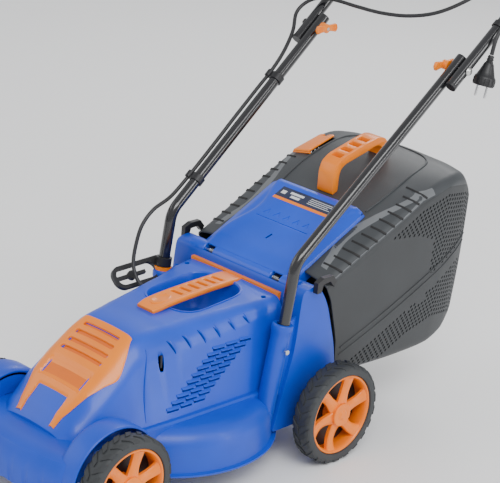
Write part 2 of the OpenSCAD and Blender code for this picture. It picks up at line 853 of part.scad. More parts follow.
// Outline around both pulleys, grown by grow
module belt_area(grow) {
  hull() {
    circle(r = driven_r + grow);
    translate([0, -motor_reach]) circle(r = drive_r + grow);
  }
}

module drive_belt() {
  color([0.1, 0.1, 0.1]) at_deck() translate([0, 0, belt_z + 0.4]) linear_extrude(belt_w - 0.8)
      difference() {
    belt_area(belt_t + body_gap);
    belt_area(body_gap);
  }
}

// ---- wheels ----

// Wheel pieces are drawn around X with their outer face on +X at the tyre's side
module tyre_shape(r, w, rim) {
  h = w / 2;
  rotate([0, 90, 0]) rotate_extrude($fn = 96) polygon([
    [rim, -h + 2], [rim + 5, -h], [r - 6, -h], [r - 1.5, -h + 5], [r, 0], [r - 1.5, h - 5],
    [r - 6, h], [rim + 5, h], [rim, h - 2]
  ]);
}

module rim_shape(rim, w) {
  h = w / 2;
  difference() {
    union() {
      rotate([0, 90, 0]) rotate_extrude($fn = 96) polygon([
        [rim - 6, -h + 3], [rim - 0.05, -h + 3], [rim - 0.05, h - 3], [rim - 6, h - 1]
      ]);
      x_rod(rim - 5, h - 14, h - 9);
      x_rod(hub_r, -h + 1, h - 6);
    }
    x_rod(axle_r + run_gap, -h - 1, h + 1);
    for (k = [0 : 5]) rotate([60 * k, 0, 0]) side_plate([
      [-6, hub_r + 5], [6, hub_r + 5], [15, rim - 14], [8, rim - 9], [-8, rim - 9], [-15, rim - 14]
    ], h - 16, h);
  }
}

module cap_shape(w) {
  h = w / 2;
  difference() {
    union() {
      x_rod(hub_r + 2, h - 5.9, h - 2);
      x_rod(6, h - 2, h + 1.5);
    }
    x_rod(axle_r + 3, h - 7, h - 3.5);
  }
}

// The axle's end stops inside the cap
module axle_shape(x_face) {
  x_rod(axle_r, -x_face + 5, x_face - 5);
  pair() x_rod(axle_r + 2.5, x_face - 5.8, x_face - 4.2);
}

// Places a wheel's pieces: side 1 is left, -1 is right
module at_wheel(side, front) {
  x = front ? front_face_x - front_tyre_w / 2 : rear_face_x - rear_tyre_w / 2;
  y = front ? -front_axle_y : rear_axle_y;
  z = front ? front_tyre_r : rear_tyre_r;
  at_deck() translate([side * x, y, z]) side_of(side) children();
}

module tyre(side, front) {
  color([0.25, 0.27, 0.28]) at_wheel(side, front)
    tyre_shape(front ? front_tyre_r : rear_tyre_r, front ? front_tyre_w : rear_tyre_w,
        front ? front_rim_r : rear_rim_r);
}

module rim(side, front) {
  color(orange) at_wheel(side, front)
    rim_shape(front ? front_rim_r : rear_rim_r, front ? front_tyre_w : rear_tyre_w);
}

module wheel_cap(side, front) {
  color(orange) at_wheel(side, front) cap_shape(front ? front_tyre_w : rear_tyre_w);
}

module front_axle() {
  color("silver") at_deck() translate([0, -front_axle_y, front_tyre_r]) axle_shape(front_face_x);
}

module rear_axle() {
  color("silver") at_deck() translate([0, rear_axle_y, rear_tyre_r]) axle_shape(rear_face_x);
}

// ---- rear flap ----

// Places the flap: X across, Y down its slope from the hinge, Z out of its face
module at_flap() {
  translate([0, hinge_y, hinge_z]) rotate([flap_slope, 0, 0]) children();
}

module rear_flap() {
  color(blue) at_deck() at_flap() difference() {
    union() {
      difference() {
        x_rod(barrel_r, -ear_x + body_gap, ear_x - body_gap);
        for (s = [-1, 1]) translate([s * spring_x, 0, 0]) x_rod(barrel_r + 1, -spring_room, spring_room);
      }
      block([-flap_half_w, 2, barrel_r - flap_t], [flap_half_w, flap_l, barrel_r]);
      // Raised middle panel
      block([-70, 60, barrel_r - 0.5], [70, flap_l - 8, barrel_r + 3]);
      pair() side_plate([
        [6, barrel_r], [flap_l, barrel_r], [flap_l, barrel_r - 8], [60, barrel_r - 18], [14, barrel_r - 18]
      ], flap_half_w - 1, flap_half_w + flap_t);
      block([-flap_half_w, flap_l - flap_t, barrel_r - 8], [flap_half_w, flap_l, barrel_r]);
    }
    x_rod(hinge_r + run_gap, -200, 200);
    for (s = [-1, 1]) translate([s * spring_x, 0, 0]) x_rod(barrel_r + 0.5, -spring_room, spring_room);
    block([-2, 40, 0], [2, 52, 40]);
  }
}

// Coil springs round the hinge rod
module flap_springs() {
  wire = 0.9;
  coil_r = hinge_r + 1.8;
  turns = 5;
  sweep = 2 * (spring_room - 4);
  color("silver") at_deck() translate([0, hinge_y, hinge_z]) for (s = [-1, 1])
      translate([s * spring_x, 0, 0])
    swept([for (k = [0 : turns * 12]) [
      sweep * (k / (turns * 12) - 0.5), coil_r * cos(k * 30), coil_r * sin(k * 30)
    ]], wire, 6);
}

// ---- grass box ----

// One upright cross-section of the box: bottom, side, seam and crown
function box_ring(y, top, seam, low, half, inset) =
  let (w = half - inset, t = top - inset, s = min(seam, top - 4) - inset / 2, b = low + inset,
      m = (s + b) / 2)
  [
    [w - 34, y, b], [w - 12, y, b + 10], [w - 3, y, m], [w, y, s], [w - 8, y, s + (t - s) * 0.55],
    [w - 42, y, t - 2], [0, y, t + 3],
    [-w + 42, y, t - 2], [-w + 8, y, s + (t - s) * 0.55], [-w, y, s], [-w + 3, y, m], [-w + 12, y, b + 10],
    [-w + 34, y, b]
  ];

module box_solid(inset) {
  h = box_half_w;
  moulding([
    box_ring(180 + inset, 298, 282, 116, h - 6, inset),
    box_ring(262, 334, 310, 112, h - 3, inset),
    box_ring(345, 374, 348, 109, h, inset),
    box_ring(430, 411, 388, 107, h, inset),
    box_ring(505, 431, 412, 108, h - 3, inset),
    box_ring(550, 428, 408, 118, h - 11, inset),
    box_ring(582, 400, 376, 140, h - 22, inset),
    box_ring(600 - inset, 350, 326, 176, h - 36, inset)
  ]);
}

// Everything in front of the slanted mouth, moved back by shift
module mouth_cut(shift) {
  side_plate([
    [100, 0], [268 + shift, 0], [258 + shift, 100], [256 + shift, 142], [248 + shift, 186],
        [222 + shift, 264],
    [204 + shift, 296], [204 + shift, 500], [100, 500]
  ], -260, 260);
}

// Everything above the seam between lid and basket, moved up by shift
module above_seam(shift) {
  side_plate([
    [100, 237 + shift], [430, 392 + shift], [500, 408 + shift], [560, 398 + shift], [700, 330 + shift],
    [700, 700], [100, 700]
  ], -260, 260);
}

// The box as a shell, open at the mouth
module box_shell(inset) {
  difference() {
    box_solid(inset);
    difference() {
      box_solid(inset + box_wall);
      mouth_cut(20);
    }
    mouth_cut(0);
    // Mouth towards the discharge tunnel
    side_plate([[180, chute_floor_z + 4], [300, chute_floor_z + 4], [300, chute_top_z - 8], [180,
        chute_top_z - 8]],
      -chute_w / 2 + 4, chute_w / 2 - 4);
  }
}

module box_lid() {
  color(box_grey) at_deck() difference() {
    intersection() {
      box_shell(0);
      above_seam(0);
    }
    at_flap() block([-flap_half_w - 8, -60, -60], [flap_half_w + 8, flap_l + 10,
        barrel_r - flap_t - body_gap]);
    at_flap() block([-flap_half_w - 8, -60, -60], [flap_half_w + 8, 40, 60]);
    // Vent and hinge groove under the level flap
    at_level() {
      block([-14, 12, -30], [14, 50, 30]);
      block([-24, -3.5, -4], [24, 3.5, 20]);
    }
  }
}

module box_basket() {
  color([0.3, 0.31, 0.33]) at_deck() difference() {
    box_shell(0);
    above_seam(-seat_gap);
    // Rows of air slots along both sides and the floor
    pair() for (i = [0 : 5], j = [0 : 2]) translate([box_half_w - 20, 310 + i * 40, 160 + j * 56 + i * 3])
      block([-20, 0, 0], [40, 20, 6]);
    for (i = [-2 : 2], j = [0 : 3]) translate([i * 40 - 10, 560, 190 + j * 34]) block([0, 0, 0], [20,
        80, 6]);
  }
}

// Places the level flap on the crowned lid: X across, Y up the lid from the flap's hinge
module at_level() {
  translate([-122, 424, 405.5]) rotate([15, 0, 0]) rotate([0, -13, 0]) children();
}

module level_flap() {
  color(orange) at_deck() at_level() difference() {
    union() {
      block([-21, -1.8, 1.4], [21, 70, 4.2]);
      x_rod(1.8, -21, 21);
    }
    block([-6, 62, 0], [6, 71, 20]);
  }
}

module box_handle() {
  color(orange) at_deck() difference() {
    side_plate([
      [352, 379], [352, 416], [358, 432], [374, 442], [430, 457], [462, 464], [478, 461], [488, 450],
          [491, 425],
      [479, 423], [476, 440], [467, 449], [455, 450], [432, 443], [380, 430], [369, 422], [366, 410],
          [366, 384]
    ], -17, 17);
    for (i = [0 : 3]) block([-11, 378 + i * 21, 400], [11, 389 + i * 21, 500]);
  }
}

// Hooks that hang the box on the hinge ears
module box_hooks() {
  x = deck_half_w + 2;
  color("black") at_deck() pair() side_plate([
    [176, 288], [176, 306], [190, 312], [212, 312], [222, 300], [216, 292], [206, 303], [190, 302],
        [186, 288]
  ], x, x + 9);
}

// ---- switch, bail and mains tail ----

switch_x = leg_x + switch_s * sin(leg_splay);
box_in = 38;
box_out = 23;
button_s = switch_s + 76;
button_x = -24;
button_r = 7;
bail_x = switch_x - box_in - bail_r - 3;

module switch_box() {
  color([0.08, 0.08, 0.09]) at_deck() at_slope() leg_frame() difference() {
    round_box([-box_in, switch_s, -switch_h / 2], [box_out, switch_s + switch_l, switch_h / 2], 10);
    y_rod(tube_r + seat_gap, switch_s - 20, switch_s + switch_l + 20);
    // Hollow for the switch
    block([-box_in + 3, switch_s + 10, -switch_h / 2 + 3], [-tube_r - 3, switch_s + switch_l - 10,
        switch_h / 2 - 3]);
    // Guide of the safety button
    translate([button_x, button_s, 0]) cylinder(h = 60, r = button_r + run_gap);
    // Bail pivot
    translate([0, bail_s, bail_drop]) rotate([0, 0, leg_splay]) x_rod(bail_r + run_gap, -box_in - 10,
        -box_in + 4);
    // Outlets of the motor cable and the mains tail
    translate([-24, 0, 0]) y_rod(cable_d / 2 + seat_gap, switch_s - 1, switch_s + 8);
    translate([tail_x, 0, 0]) y_rod(tail_d / 2 + seat_gap, switch_s - 1, switch_s + 12);
  }
}

module bail_bracket() {
  color([0.08, 0.08, 0.09]) at_deck() at_slope() side_of(-1) leg_frame() difference() {
    union() {
      y_rod(tube_r + 5, bail_s - 14, bail_s + 14);
      round_box([-box_in, bail_s - 14, bail_drop - 9], [0, bail_s + 14, 8], 4);
    }
    y_rod(tube_r + seat_gap, bail_s - 30, bail_s + 30);
    translate([0, bail_s, bail_drop]) rotate([0, 0, leg_splay]) x_rod(bail_r + run_gap, -box_in - 10,
        -box_in + 14);
  }
}

// Wire lever that hangs below the grip bar and is pulled up against it
module bail_lever() {
  run = handle_run - bail_s - bail_corner;
  bar = bail_x - bail_corner;
  color([0.1, 0.1, 0.11]) at_deck() at_slope() translate([0, bail_y, bail_drop]) rotate([-bail_rest,
      0, 0]) {
    pair() {
      x_rod(bail_r, bail_x - bail_r, bail_x + 9);
      translate([bail_x, 0, 0]) sphere(r = bail_r);
      translate([bail_x, 0, 0]) y_rod(bail_r, 0, run);
      translate([bail_x - bail_corner, run, 0]) rotate_extrude(angle = 90) translate([bail_corner,
          0]) circle(r = bail_r);
    }
    translate([0, run + bail_corner, 0]) x_rod(bail_r, -bar, bar);
  }
}

module safety_button() {
  color("orangered") at_deck() at_slope() leg_frame() translate([button_x, button_s, 0]) {
    translate([0, 0, switch_h / 2 - 8]) cylinder(h = 14, r = button_r);
    translate([0, 0, switch_h / 2 - 8]) cylinder(h = 4.4, r = button_r + 1.6);
  }
}

tail_clip_s = [96, 215, 335];
module tail_clips() {
  color("black") at_deck() at_slope() leg_frame() for (s = tail_clip_s) translate([0, s, 0]) difference() {
    union() {
      y_rod(tube_r + 2.2, 0, 10);
      translate([tail_x, 0, 0]) y_rod(tail_d / 2 + 2, 0, 10);
      block([tube_r + 1, 0, -3], [tail_x - tail_d / 2 - 1, 10, 3]);
    }
    y_rod(tube_r + seat_gap, -1, 11);
    translate([tail_x, 0, 0]) y_rod(tail_d / 2 + seat_gap, -1, 11);
  }
}

module motor_cable() {
  color([0.08, 0.08, 0.08]) at_deck() swept(smooth(cable_route, 2), cable_d / 2, cable_sides);
}

module tail_cord() {
  color([0.08, 0.08, 0.08]) at_deck() swept(smooth(tail_route, 3), tail_d / 2, cable_sides);
}

// Places the plug: Z back along the cord from the plug's face
module at_plug() {
  translate(tail_route[len(tail_route) - 1]) rotate([plug_lean, 0, 0]) translate([0, 0,
      -plug_l - plug_neck]) children();
}

module plug_body() {
  color([0.1, 0.1, 0.1]) at_deck() at_plug() {
    cylinder(h = 16, r = 18);
    translate([0, 0, 16 - hair]) cylinder(h = plug_l - 16 + hair, r1 = 17, r2 = 9);
    translate([0, 0, plug_l - hair]) cylinder(h = plug_neck - 0.3, r1 = 6.5, r2 = 4.6);
  }
}

module plug_pins() {
  color("silver") at_deck() at_plug() for (x = [-1, 1]) translate([x * pin_pitch / 2, 0, -pin_l]) {
    cylinder(h = pin_l - seat_gap, r = pin_r);
  }
}

deck();
hood();
front_grille();
carry_handle();
rear_trim();
hinge_rod();
lower_tube(1);  // lower_tube_left
lower_tube(-1);  // lower_tube_right
tube_screws();
hood_screws();
cord_hook();
hook_bracket();
cable_clips();
bearing_plate();
bearings();
motor_can();
motor_stator();
drive_belt();
motor_cable();
front_axle();
rear_axle();
tyre(1, true);  // front_left_tyre
rim(1, true);  // front_left_rim
wheel_cap(1, true);  // front_left_cap
tyre(-1, true);  // front_right_tyre
rim(-1, true);  // front_right_rim
wheel_cap(-1, true);  // front_right_cap
tyre(1, false);  // rear_left_tyre
rim(1, false);  // rear_left_rim
wheel_cap(1, false);  // rear_left_cap
tyre(-1, false);  // rear_right_tyre
rim(-1, false);  // rear_right_rim
wheel_cap(-1, false);  // rear_right_cap
spindle();
driven_pulley();
blade_adaptor();
blade();
blade_bolt();
armature();
drive_pulley();
rear_flap();
flap_springs();
box_lid();
box_basket();
box_handle();
box_hooks();
level_flap();
upper_handle();
tube_caps();
handle_bolts();
switch_box();
bail_bracket();
tail_clips();
tail_cord();
plug_body();
plug_pins();
bail_lever();
safety_button();
wing_knob(1);  // wing_knob_left
wing_knob(-1);  // wing_knob_right
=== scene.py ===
import math

import bmesh
import bpy
from mathutils import Matrix, Vector


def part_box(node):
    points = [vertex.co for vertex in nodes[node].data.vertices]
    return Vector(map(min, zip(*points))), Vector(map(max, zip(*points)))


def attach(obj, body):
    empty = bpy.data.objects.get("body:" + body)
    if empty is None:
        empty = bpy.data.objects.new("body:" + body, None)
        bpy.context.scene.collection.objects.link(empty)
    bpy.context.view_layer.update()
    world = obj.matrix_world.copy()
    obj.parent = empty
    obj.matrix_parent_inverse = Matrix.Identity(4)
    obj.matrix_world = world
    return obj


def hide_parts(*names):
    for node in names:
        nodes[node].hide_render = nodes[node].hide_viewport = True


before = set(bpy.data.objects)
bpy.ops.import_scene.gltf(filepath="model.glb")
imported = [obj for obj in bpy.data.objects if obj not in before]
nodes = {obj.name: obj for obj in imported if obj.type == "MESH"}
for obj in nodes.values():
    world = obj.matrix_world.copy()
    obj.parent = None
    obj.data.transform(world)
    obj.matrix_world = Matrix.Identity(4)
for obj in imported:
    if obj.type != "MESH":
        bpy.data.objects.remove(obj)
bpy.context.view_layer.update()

# everything below is drawn in millimetres around the blade spindle, then moved into the frame
spindleLow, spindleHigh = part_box("spindle")
deckY = (spindleLow[1] + spindleHigh[1]) / 2


def point(x, y, z):
    return Vector((x / 1000, y / 1000 + deckY, z / 1000))


def inDeck(p):
    return Vector((p[0] * 1000, (p[1] - deckY) * 1000,
                   p[2] * 1000))  # frame metres back to deck millimetres


def nodeBox(name):
    low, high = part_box(name)
    return inDeck(low), inDeck(high)


# ---- camera, stage and light

view = {
    "place": (1909.7, -1890.7, 1363.4),
    "azimuth": 42.7,
    "elevation": 20.2,
    "roll": 5.0,
    "lens": 132.4,
}


def makeCamera():
    a, e, roll = (math.radians(view[k]) for k in ("azimuth", "elevation", "roll"))
    right = Vector((math.cos(a), math.sin(a), 0))
    up = Vector((-math.sin(e) * math.sin(a), math.sin(e) * math.cos(a), math.cos(e)))
    back = right.cross(up)
    camX = math.cos(roll) * right + math.sin(roll) * up
    camY = -math.sin(roll) * right + math.cos(roll) * up
    data = bpy.data.cameras.new("shotCamera")
    data.lens = view["lens"]
    data.sensor_width = 36
    data.clip_end = 60
    camera = bpy.data.objects.new("shotCamera", data)
    bpy.context.scene.collection.objects.link(camera)
    place = Matrix((camX, camY, back)).transposed().to_4x4()
    place.translation = point(*view["place"])
    camera.matrix_world = place
    bpy.context.scene.camera = camera


studio = {
    "floorReach": 14, "floorColor": (0.97, 0.97, 0.97, 1), "floorRough": 0.85,
    "airColor": (0.97, 0.98, 1, 1), "airStrength": 0.72,
    # size, power, place and target of each soft panel, in metres and watts
    "lights": {
        "keyPanel": ((2.4, 1.6), 84, (2.2, -1.4, 2.9), (0, -0.1, 0.25)),
        "fillPanel": ((2.5, 2.0), 20, (-2.6, -2.2, 1.9), (0, 0, 0.3)),
        "rimPanel": ((2.2, 1.0), 40, (-1.2, 2.6, 2.4), (0, 0, 0.4)),
        "stripPanel": ((0.35, 2.4), 20, (2.6, 1.0, 1.2), (0, 0.1, 0.5)),
    },
}


def addLight(name, size, power, place, target):
    data = bpy.data.lights.new(name, "AREA")
    data.shape = "RECTANGLE"
    data.size, data.size_y = size
    data.energy = power
    lamp = bpy.data.objects.new(name, data)
    bpy.context.scene.collection.objects.link(lamp)
    lamp.location = place
    lamp.rotation_euler = (Vector(target) - Vector(place)).to_track_quat("-Z", "Y").to_euler()


def makeStage():
    mesh = bpy.data.meshes.new("studioFloor")
    r = studio["floorReach"]
    mesh.from_pydata([(-r, -r, 0), (r, -r, 0), (r, r, 0), (-r, r, 0)], [], [(0, 1, 2, 3)])
    floor = bpy.data.objects.new("studioFloor", mesh)
    bpy.context.scene.collection.objects.link(floor)
    paint = bpy.data.materials.new("paleFloor")
    paint.use_nodes = True
    shader = paint.node_tree.nodes["Principled BSDF"]
    shader.inputs["Base Color"].default_value = studio["floorColor"]
    shader.inputs["Roughness"].default_value = studio["floorRough"]
    mesh.materials.append(paint)
    world = bpy.data.worlds.new("studioAir")
    world.use_nodes = True
    air = world.node_tree.nodes["Background"]
    air.inputs["Color"].default_value = studio["airColor"]
    air.inputs["Strength"].default_value = studio["airStrength"]
    bpy.context.scene.world = world
    for name, (size, power, place, target) in studio["lights"].items():
        addLight(name, size, power, place, target)


makeCamera()
makeStage()
print("camera, floor and lights are set")

# ---- materials

materials = {}


def makeFinish(name, color, rough, grain=0.0, grainScale=900, shade=0.06, patch=14, metal=0.0, coat=0.0,
               rounded=0.0, streaks=None, specular=0.5):
    finish = bpy.data.materials.new(name)
    finish.use_nodes = True
    tree = finish.node_tree
    new, link = tree.nodes.new, tree.links.new
    shader = tree.nodes["Principled BSDF"]
    shader.inputs["Metallic"].default_value = metal
    shader.inputs["Coat Weight"].default_value = coat
    shader.inputs["Coat Roughness"].default_value = 0.12
    shader.inputs["Specular IOR Level"].default_value = specular
    place = new("ShaderNodeTexCoord")
    cloud = new("ShaderNodeTexNoise")  # slow drift of shade over the moulding
    cloud.inputs["Scale"].default_value = patch
    cloud.inputs["Detail"].default_value = 5
    stretch = new("ShaderNodeMapping")
    if streaks:
        stretch.inputs["Scale"].default_value = streaks
    link(place.outputs["Object"], stretch.inputs["Vector"])
    link(stretch.outputs["Vector"], cloud.inputs["Vector"])
    ramp = new("ShaderNodeValToRGB")
    dark = [c * (1 - shade) for c in color]
    light = [min(1, c * (1 + shade) + shade * 0.02) for c in color]
    ramp.color_ramp.elements[0].position = 0.32
    ramp.color_ramp.elements[1].position = 0.68
    ramp.color_ramp.elements[0].color = (*dark, 1)
    ramp.color_ramp.elements[1].color = (*light, 1)
    link(cloud.outputs["Fac"], ramp.inputs["Fac"])
    link(ramp.outputs["Color"], shader.inputs["Base Color"])
    smear = new("ShaderNodeMapRange")  # handling marks change the gloss a little
    smear.inputs["To Min"].default_value = max(0.03, rough - 0.05)
    smear.inputs["To Max"].default_value = min(1.0, rough + 0.07)
    link(cloud.outputs["Fac"], smear.inputs["Value"])
    link(smear.outputs["Result"], shader.inputs["Roughness"])
    normal = None
    if rounded:
        soft = new("ShaderNodeBevel")
        soft.samples = 4
        soft.inputs["Radius"].default_value = rounded
        normal = soft.outputs["Normal"]
    if grain:
        fine = new("ShaderNodeTexNoise")
        fine.inputs["Scale"].default_value = grainScale
        fine.inputs["Detail"].default_value = 2
        link(stretch.outputs["Vector"] if streaks else place.outputs["Object"], fine.inputs["Vector"])
        bump = new("ShaderNodeBump")
        bump.inputs["Strength"].default_value = grain
        bump.inputs["Distance"].default_value = 0.0004
        link(fine.outputs["Fac"], bump.inputs["Height"])
        if normal:
            link(normal, bump.inputs["Normal"])
        normal = bump.outputs["Normal"]
    if normal:
        link(normal, shader.inputs["Normal"])
    materials[name] = finish
    return finish


brushed = (6, 6, 900)
makeFinish("hoodBlue", (0.002, 0.062, 0.60), 0.38, grain=0.10, coat=0.12)
makeFinish("deckBlue", (0.002, 0.056, 0.55), 0.42, grain=0.14, coat=0.06)
makeFinish("flapBlue", (0.003, 0.070, 0.66), 0.34, grain=0.08, coat=0.15)
makeFinish("trimOrange", (1.0, 0.235, 0.0), 0.33, grain=0.07, coat=0.16)
# darker copy of the trim orange for the grille's recess floors: painted shade in the recesses
makeFinish("shadedRecessOrange", (0.80, 0.160, 0.0), 0.46, grain=0.12)
makeFinish("rimOrange", (1.0, 0.215, 0.0), 0.36, grain=0.10, coat=0.1)
makeFinish("tyreGrey", (0.036, 0.040, 0.043), 0.62, grain=0.35, grainScale=700, shade=0.12)
makeFinish("treadGrey", (0.030, 0.033, 0.036), 0.70, grain=0.45, grainScale=600, shade=0.15)
makeFinish("tubeBlack", (0.008, 0.008, 0.010), 0.16, coat=0.6, shade=0.10, grain=0.03, grainScale=300)
makeFinish("lidGrey", (0.042, 0.047, 0.052), 0.44, grain=0.30, grainScale=1100, shade=0.08)
makeFinish("seamGrey", (0.15, 0.16, 0.17), 0.46, grain=0.25, grainScale=1100, shade=0.08)
makeFinish("basketGrey", (0.030, 0.033, 0.036), 0.50, grain=0.30, grainScale=1000, shade=0.10)
# near black for the marks that stand for slots: painted shade for the dark inside of each slot
makeFinish("slotShadeBlack", (0.006, 0.006, 0.007), 0.6, grain=0.1)
makeFinish("fittingBlack", (0.013, 0.013, 0.015), 0.40, grain=0.22, grainScale=900, rounded=0.0007)
makeFinish("cableBlack", (0.020, 0.020, 0.022), 0.42, grain=0.16, grainScale=500, shade=0.12)
makeFinish("zincSteel", (0.62, 0.62, 0.60), 0.30, metal=1, grain=0.2, grainScale=500, shade=0.10,
           rounded=0.0004)
makeFinish("groundSteel", (0.70, 0.70, 0.71), 0.22, metal=1, streaks=brushed, grain=0.15, grainScale=40,
           rounded=0.0003)
makeFinish("bladeSteel", (0.10, 0.105, 0.115), 0.38, metal=0.7, grain=0.25, grainScale=400, shade=0.25,
           rounded=0.0004)
makeFinish("castGrey", (0.42, 0.42, 0.43), 0.52, metal=0.8, grain=0.5, grainScale=450, rounded=0.0008)
makeFinish("motorBlack", (0.016, 0.016, 0.018), 0.50, grain=0.3, rounded=0.0008)
makeFinish("copperWire", (0.50, 0.19, 0.07), 0.35, metal=0.9, streaks=(4, 4, 700), grain=0.5, grainScale=30)
makeFinish("rotorSteel", (0.28, 0.20, 0.15), 0.40, metal=0.8, streaks=(4, 4, 900), grain=0.5, grainScale=30)
makeFinish("beltRubber", (0.014, 0.014, 0.014), 0.75, grain=0.4, grainScale=500)
makeFinish("buttonRed", (0.62, 0.05, 0.012), 0.30, grain=0.05, coat=0.3, rounded=0.0008)
makeFinish("labelNavy", (0.010, 0.018, 0.060), 0.35, coat=0.4)
makeFinish("labelWhite", (0.72, 0.74, 0.76), 0.4, coat=0.2)
print(len(materials), "finishes are mixed")

# ---- mesh tools


def newObject(name, verts, faces):
    mesh = bpy.data.meshes.new(name)
    mesh.from_pydata([tuple(v) for v in verts], [], faces)
    mesh.validate()
    mesh.update()
    obj = bpy.data.objects.new(name, mesh)
    bpy.context.scene.collection.objects.link(obj)
    return obj


def fixNormals(obj):
    work = bmesh.new()
    work.from_mesh(obj.data)
    bmesh.ops.remove_doubles(work, verts=work.verts, dist=0.00001)
    bmesh.ops.recalc_face_normals(work, faces=work.faces)
    work.to_mesh(obj.data)
    work.free()


def faceUp(obj):
    fixNormals(obj)
    if sum(f.normal.z for f in obj.data.polygons) < 0:
        obj.data.flip_normals()


def smoothShade(obj, angle=32):
    obj.data.shade_smooth()
    obj.data.set_sharp_from_angle(angle=math.radians(angle))


def settle(obj):
    evaluated = obj.evaluated_get(bpy.context.evaluated_depsgraph_get())
    mesh = bpy.data.meshes.new_from_object(evaluated)
    obj.modifiers.clear()
    obj.data = mesh


def thicken(obj, wall):
    shell = obj.modifiers.new("wall", "SOLIDIFY")
    shell.thickness = wall / 1000
    shell.offset = -1
    shell.use_even_offset = True
    settle(obj)


def soften(obj, width, segments=2, angle=30):
    edge = obj.modifiers.new("softEdges", "BEVEL")
    edge.width = width / 1000
    edge.segments = segments
    edge.limit_method = "ANGLE"
    edge.angle_limit = math.radians(angle)
    edge.use_clamp_overlap = True
    settle(obj)


def merge(name, parts):
    verts, faces = [], []
    for part in parts:
        start = len(verts)
        verts += [v.co.copy() for v in part.data.vertices]
        faces += [tuple(i + start for i in f.vertices) for f in part.data.polygons]
        bpy.data.objects.remove(part)
    return newObject(name, verts, faces)


def cutAway(obj, cutters):
    cutter = merge("cutter", cutters)
    fixNormals(cutter)
    knife = obj.modifiers.new("cut", "BOOLEAN")
    knife.operation = "DIFFERENCE"
    knife.solver = "EXACT"
    knife.object = cutter
    settle(obj)
    bpy.data.objects.remove(cutter)


def dress(obj, body, finish, replaced=(), angle=32):
    obj.data.materials.clear()
    obj.data.materials.append(materials[finish])
    smoothShade(obj, angle)
    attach(obj, body)
    if replaced:
        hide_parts(*replaced)
    return obj


def ringFaces(count, size, closed):
    span = size if closed else size - 1
    return [
        (i * size + j, i * size + (j + 1) % size, (i + 1) * size + (j + 1) % size, (i + 1) * size + j)
        for i in range(count - 1)
        for j in range(span)
    ]


def loft(name, rings, closed=True, ends=True):
    size = len(rings[0])
    verts = [v for ring in rings for v in ring]
    faces = ringFaces(len(rings), size, closed)
    if ends and closed:
        faces += [tuple(range(size))[::-1], tuple(range(len(verts) - size, len(verts)))]
    obj = newObject(name, verts, faces)
    fixNormals(obj)
    return obj


def roundCorners(corners, radii, steps=5, closed=False):
    out, n = [], len(corners)
    for i, corner in enumerate(corners):
        here = Vector(corner)
        if (not closed and i in (0, n - 1)) or radii[i] <= 0:
            out.append(here)
            continue
        before, after = Vector(corners[i - 1]), Vector(corners[(i + 1) % n])
        toBefore, toAfter = before - here, after - here
        reach = min(radii[i], toBefore.length * 0.48, toAfter.length * 0.48)
        a, b = here + toBefore.normalized() * reach, here + toAfter.normalized() * reach
        for k in range(steps + 1):
            t = k / steps
            out.append(a * (1 - t) ** 2 + here * (2 * t * (1 - t)) + b * t ** 2)
    return out


def roundedBox(x0, y0, x1, y1, r, steps):
    corners = [(x0, y0, 0), (x1, y0, 0), (x1, y1, 0), (x0, y1, 0)]
    return [(v.x, v.y) for v in roundCorners(corners, [r] * 4, steps, closed=True)]


def roundedOutline(points, radii, steps):
    return [(v.x, v.y) for v in roundCorners([(*p, 0) for p in points], radii, steps, closed=True)]


def curveThrough(keys, t):
    i = min(int(t), len(keys) - 2)
    f = t - i
    a, b, c, d = (Vector(keys[min(max(i + k, 0), len(keys) - 1)]) for k in (-1, 0, 1, 2))
    square, cube = 2 * a - 5 * b + 4 * c - d, 3 * b - a - 3 * c + d
    return 0.5 * (2 * b + (c - a) * f + square * f * f + cube * f ** 3)


def smoothPath(keys, steps):
    return [curveThrough(keys, i / steps) for i in range((len(keys) - 1) * steps + 1)]


def atLevel(keys, y):  # keys are rows of (y, three values), read smoothly between rows
    for a, b in zip(keys, keys[1:]):
        if y <= b[0]:
            break
    i = keys.index(a)
    t = 0 if y <= a[0] else (y - a[0]) / (b[0] - a[0])
    return curveThrough([k[1:] for k in keys], i + min(t, 1))


def blendIn(low, high, value):
    t = min(max((value - low) / (high - low), 0), 1)
    return t * t * (3 - 2 * t)


def sweep(name, path, section, closedPath=False, up=(0, 0, 1), taper=None):
    rings, n = [], len(path)
    side = None
    for i, p in enumerate(path):
        ahead = path[(i + 1) % n] if closedPath else path[min(i + 1, n - 1)]
        behind = path[i - 1] if closedPath else path[max(i - 1, 0)]
        heading = (Vector(ahead) - Vector(behind)).normalized()
        if side is None:
            side = heading.cross(Vector(up)).normalized()
        side = (side - heading * side.dot(heading)).normalized()
        top = side.cross(heading)
        size = taper(i / (n - 1)) if taper else 1
        rings.append([point(*(Vector(p) + (side * s[0] + top * s[1]) * size)) for s in section])
    if closedPath:
        rings.append(rings[0])
    return loft(name, rings, ends=not closedPath)


def circleSection(r, count=16):
    return [(r * math.cos(2 * math.pi * k / count),
             r * math.sin(2 * math.pi * k / count)) for k in range(count)]


def roundedSection(w, h, r, steps=4):
    corners = [(w, -h), (w, h), (-w, h), (-w, -h)]
    return [(v.x, v.y) for v in roundCorners([(*c, 0) for c in corners], [r] * 4, steps, closed=True)]


def lathe(name, profile, place, axis="Z", steps=96, arc=(0, 360)):
    rings = []
    for k in range(steps + 1):
        a = math.radians(arc[0] + (arc[1] - arc[0]) * k / steps)
        ring = []
        for r, h in profile:
            spot = {"Z": (r * math.cos(a), r * math.sin(a), h), "X": (h, r * math.cos(a), r * math.sin(a)),
                    "Y": (r * math.cos(a), h, r * math.sin(a))}[axis]
            ring.append(point(*(Vector(place) + Vector(spot))))
        rings.append(ring)
    return loft(name, rings, closed=False, ends=False)


def slab(name, outline, low, high, axis="X"):
    if axis == "X":
        rings = [[point(w, u, v) for u, v in outline] for w in (low, high)]
    else:
        rings = [[point(u, v, w) for u, v in outline] for w in (low, high)]
    return loft(name, rings)


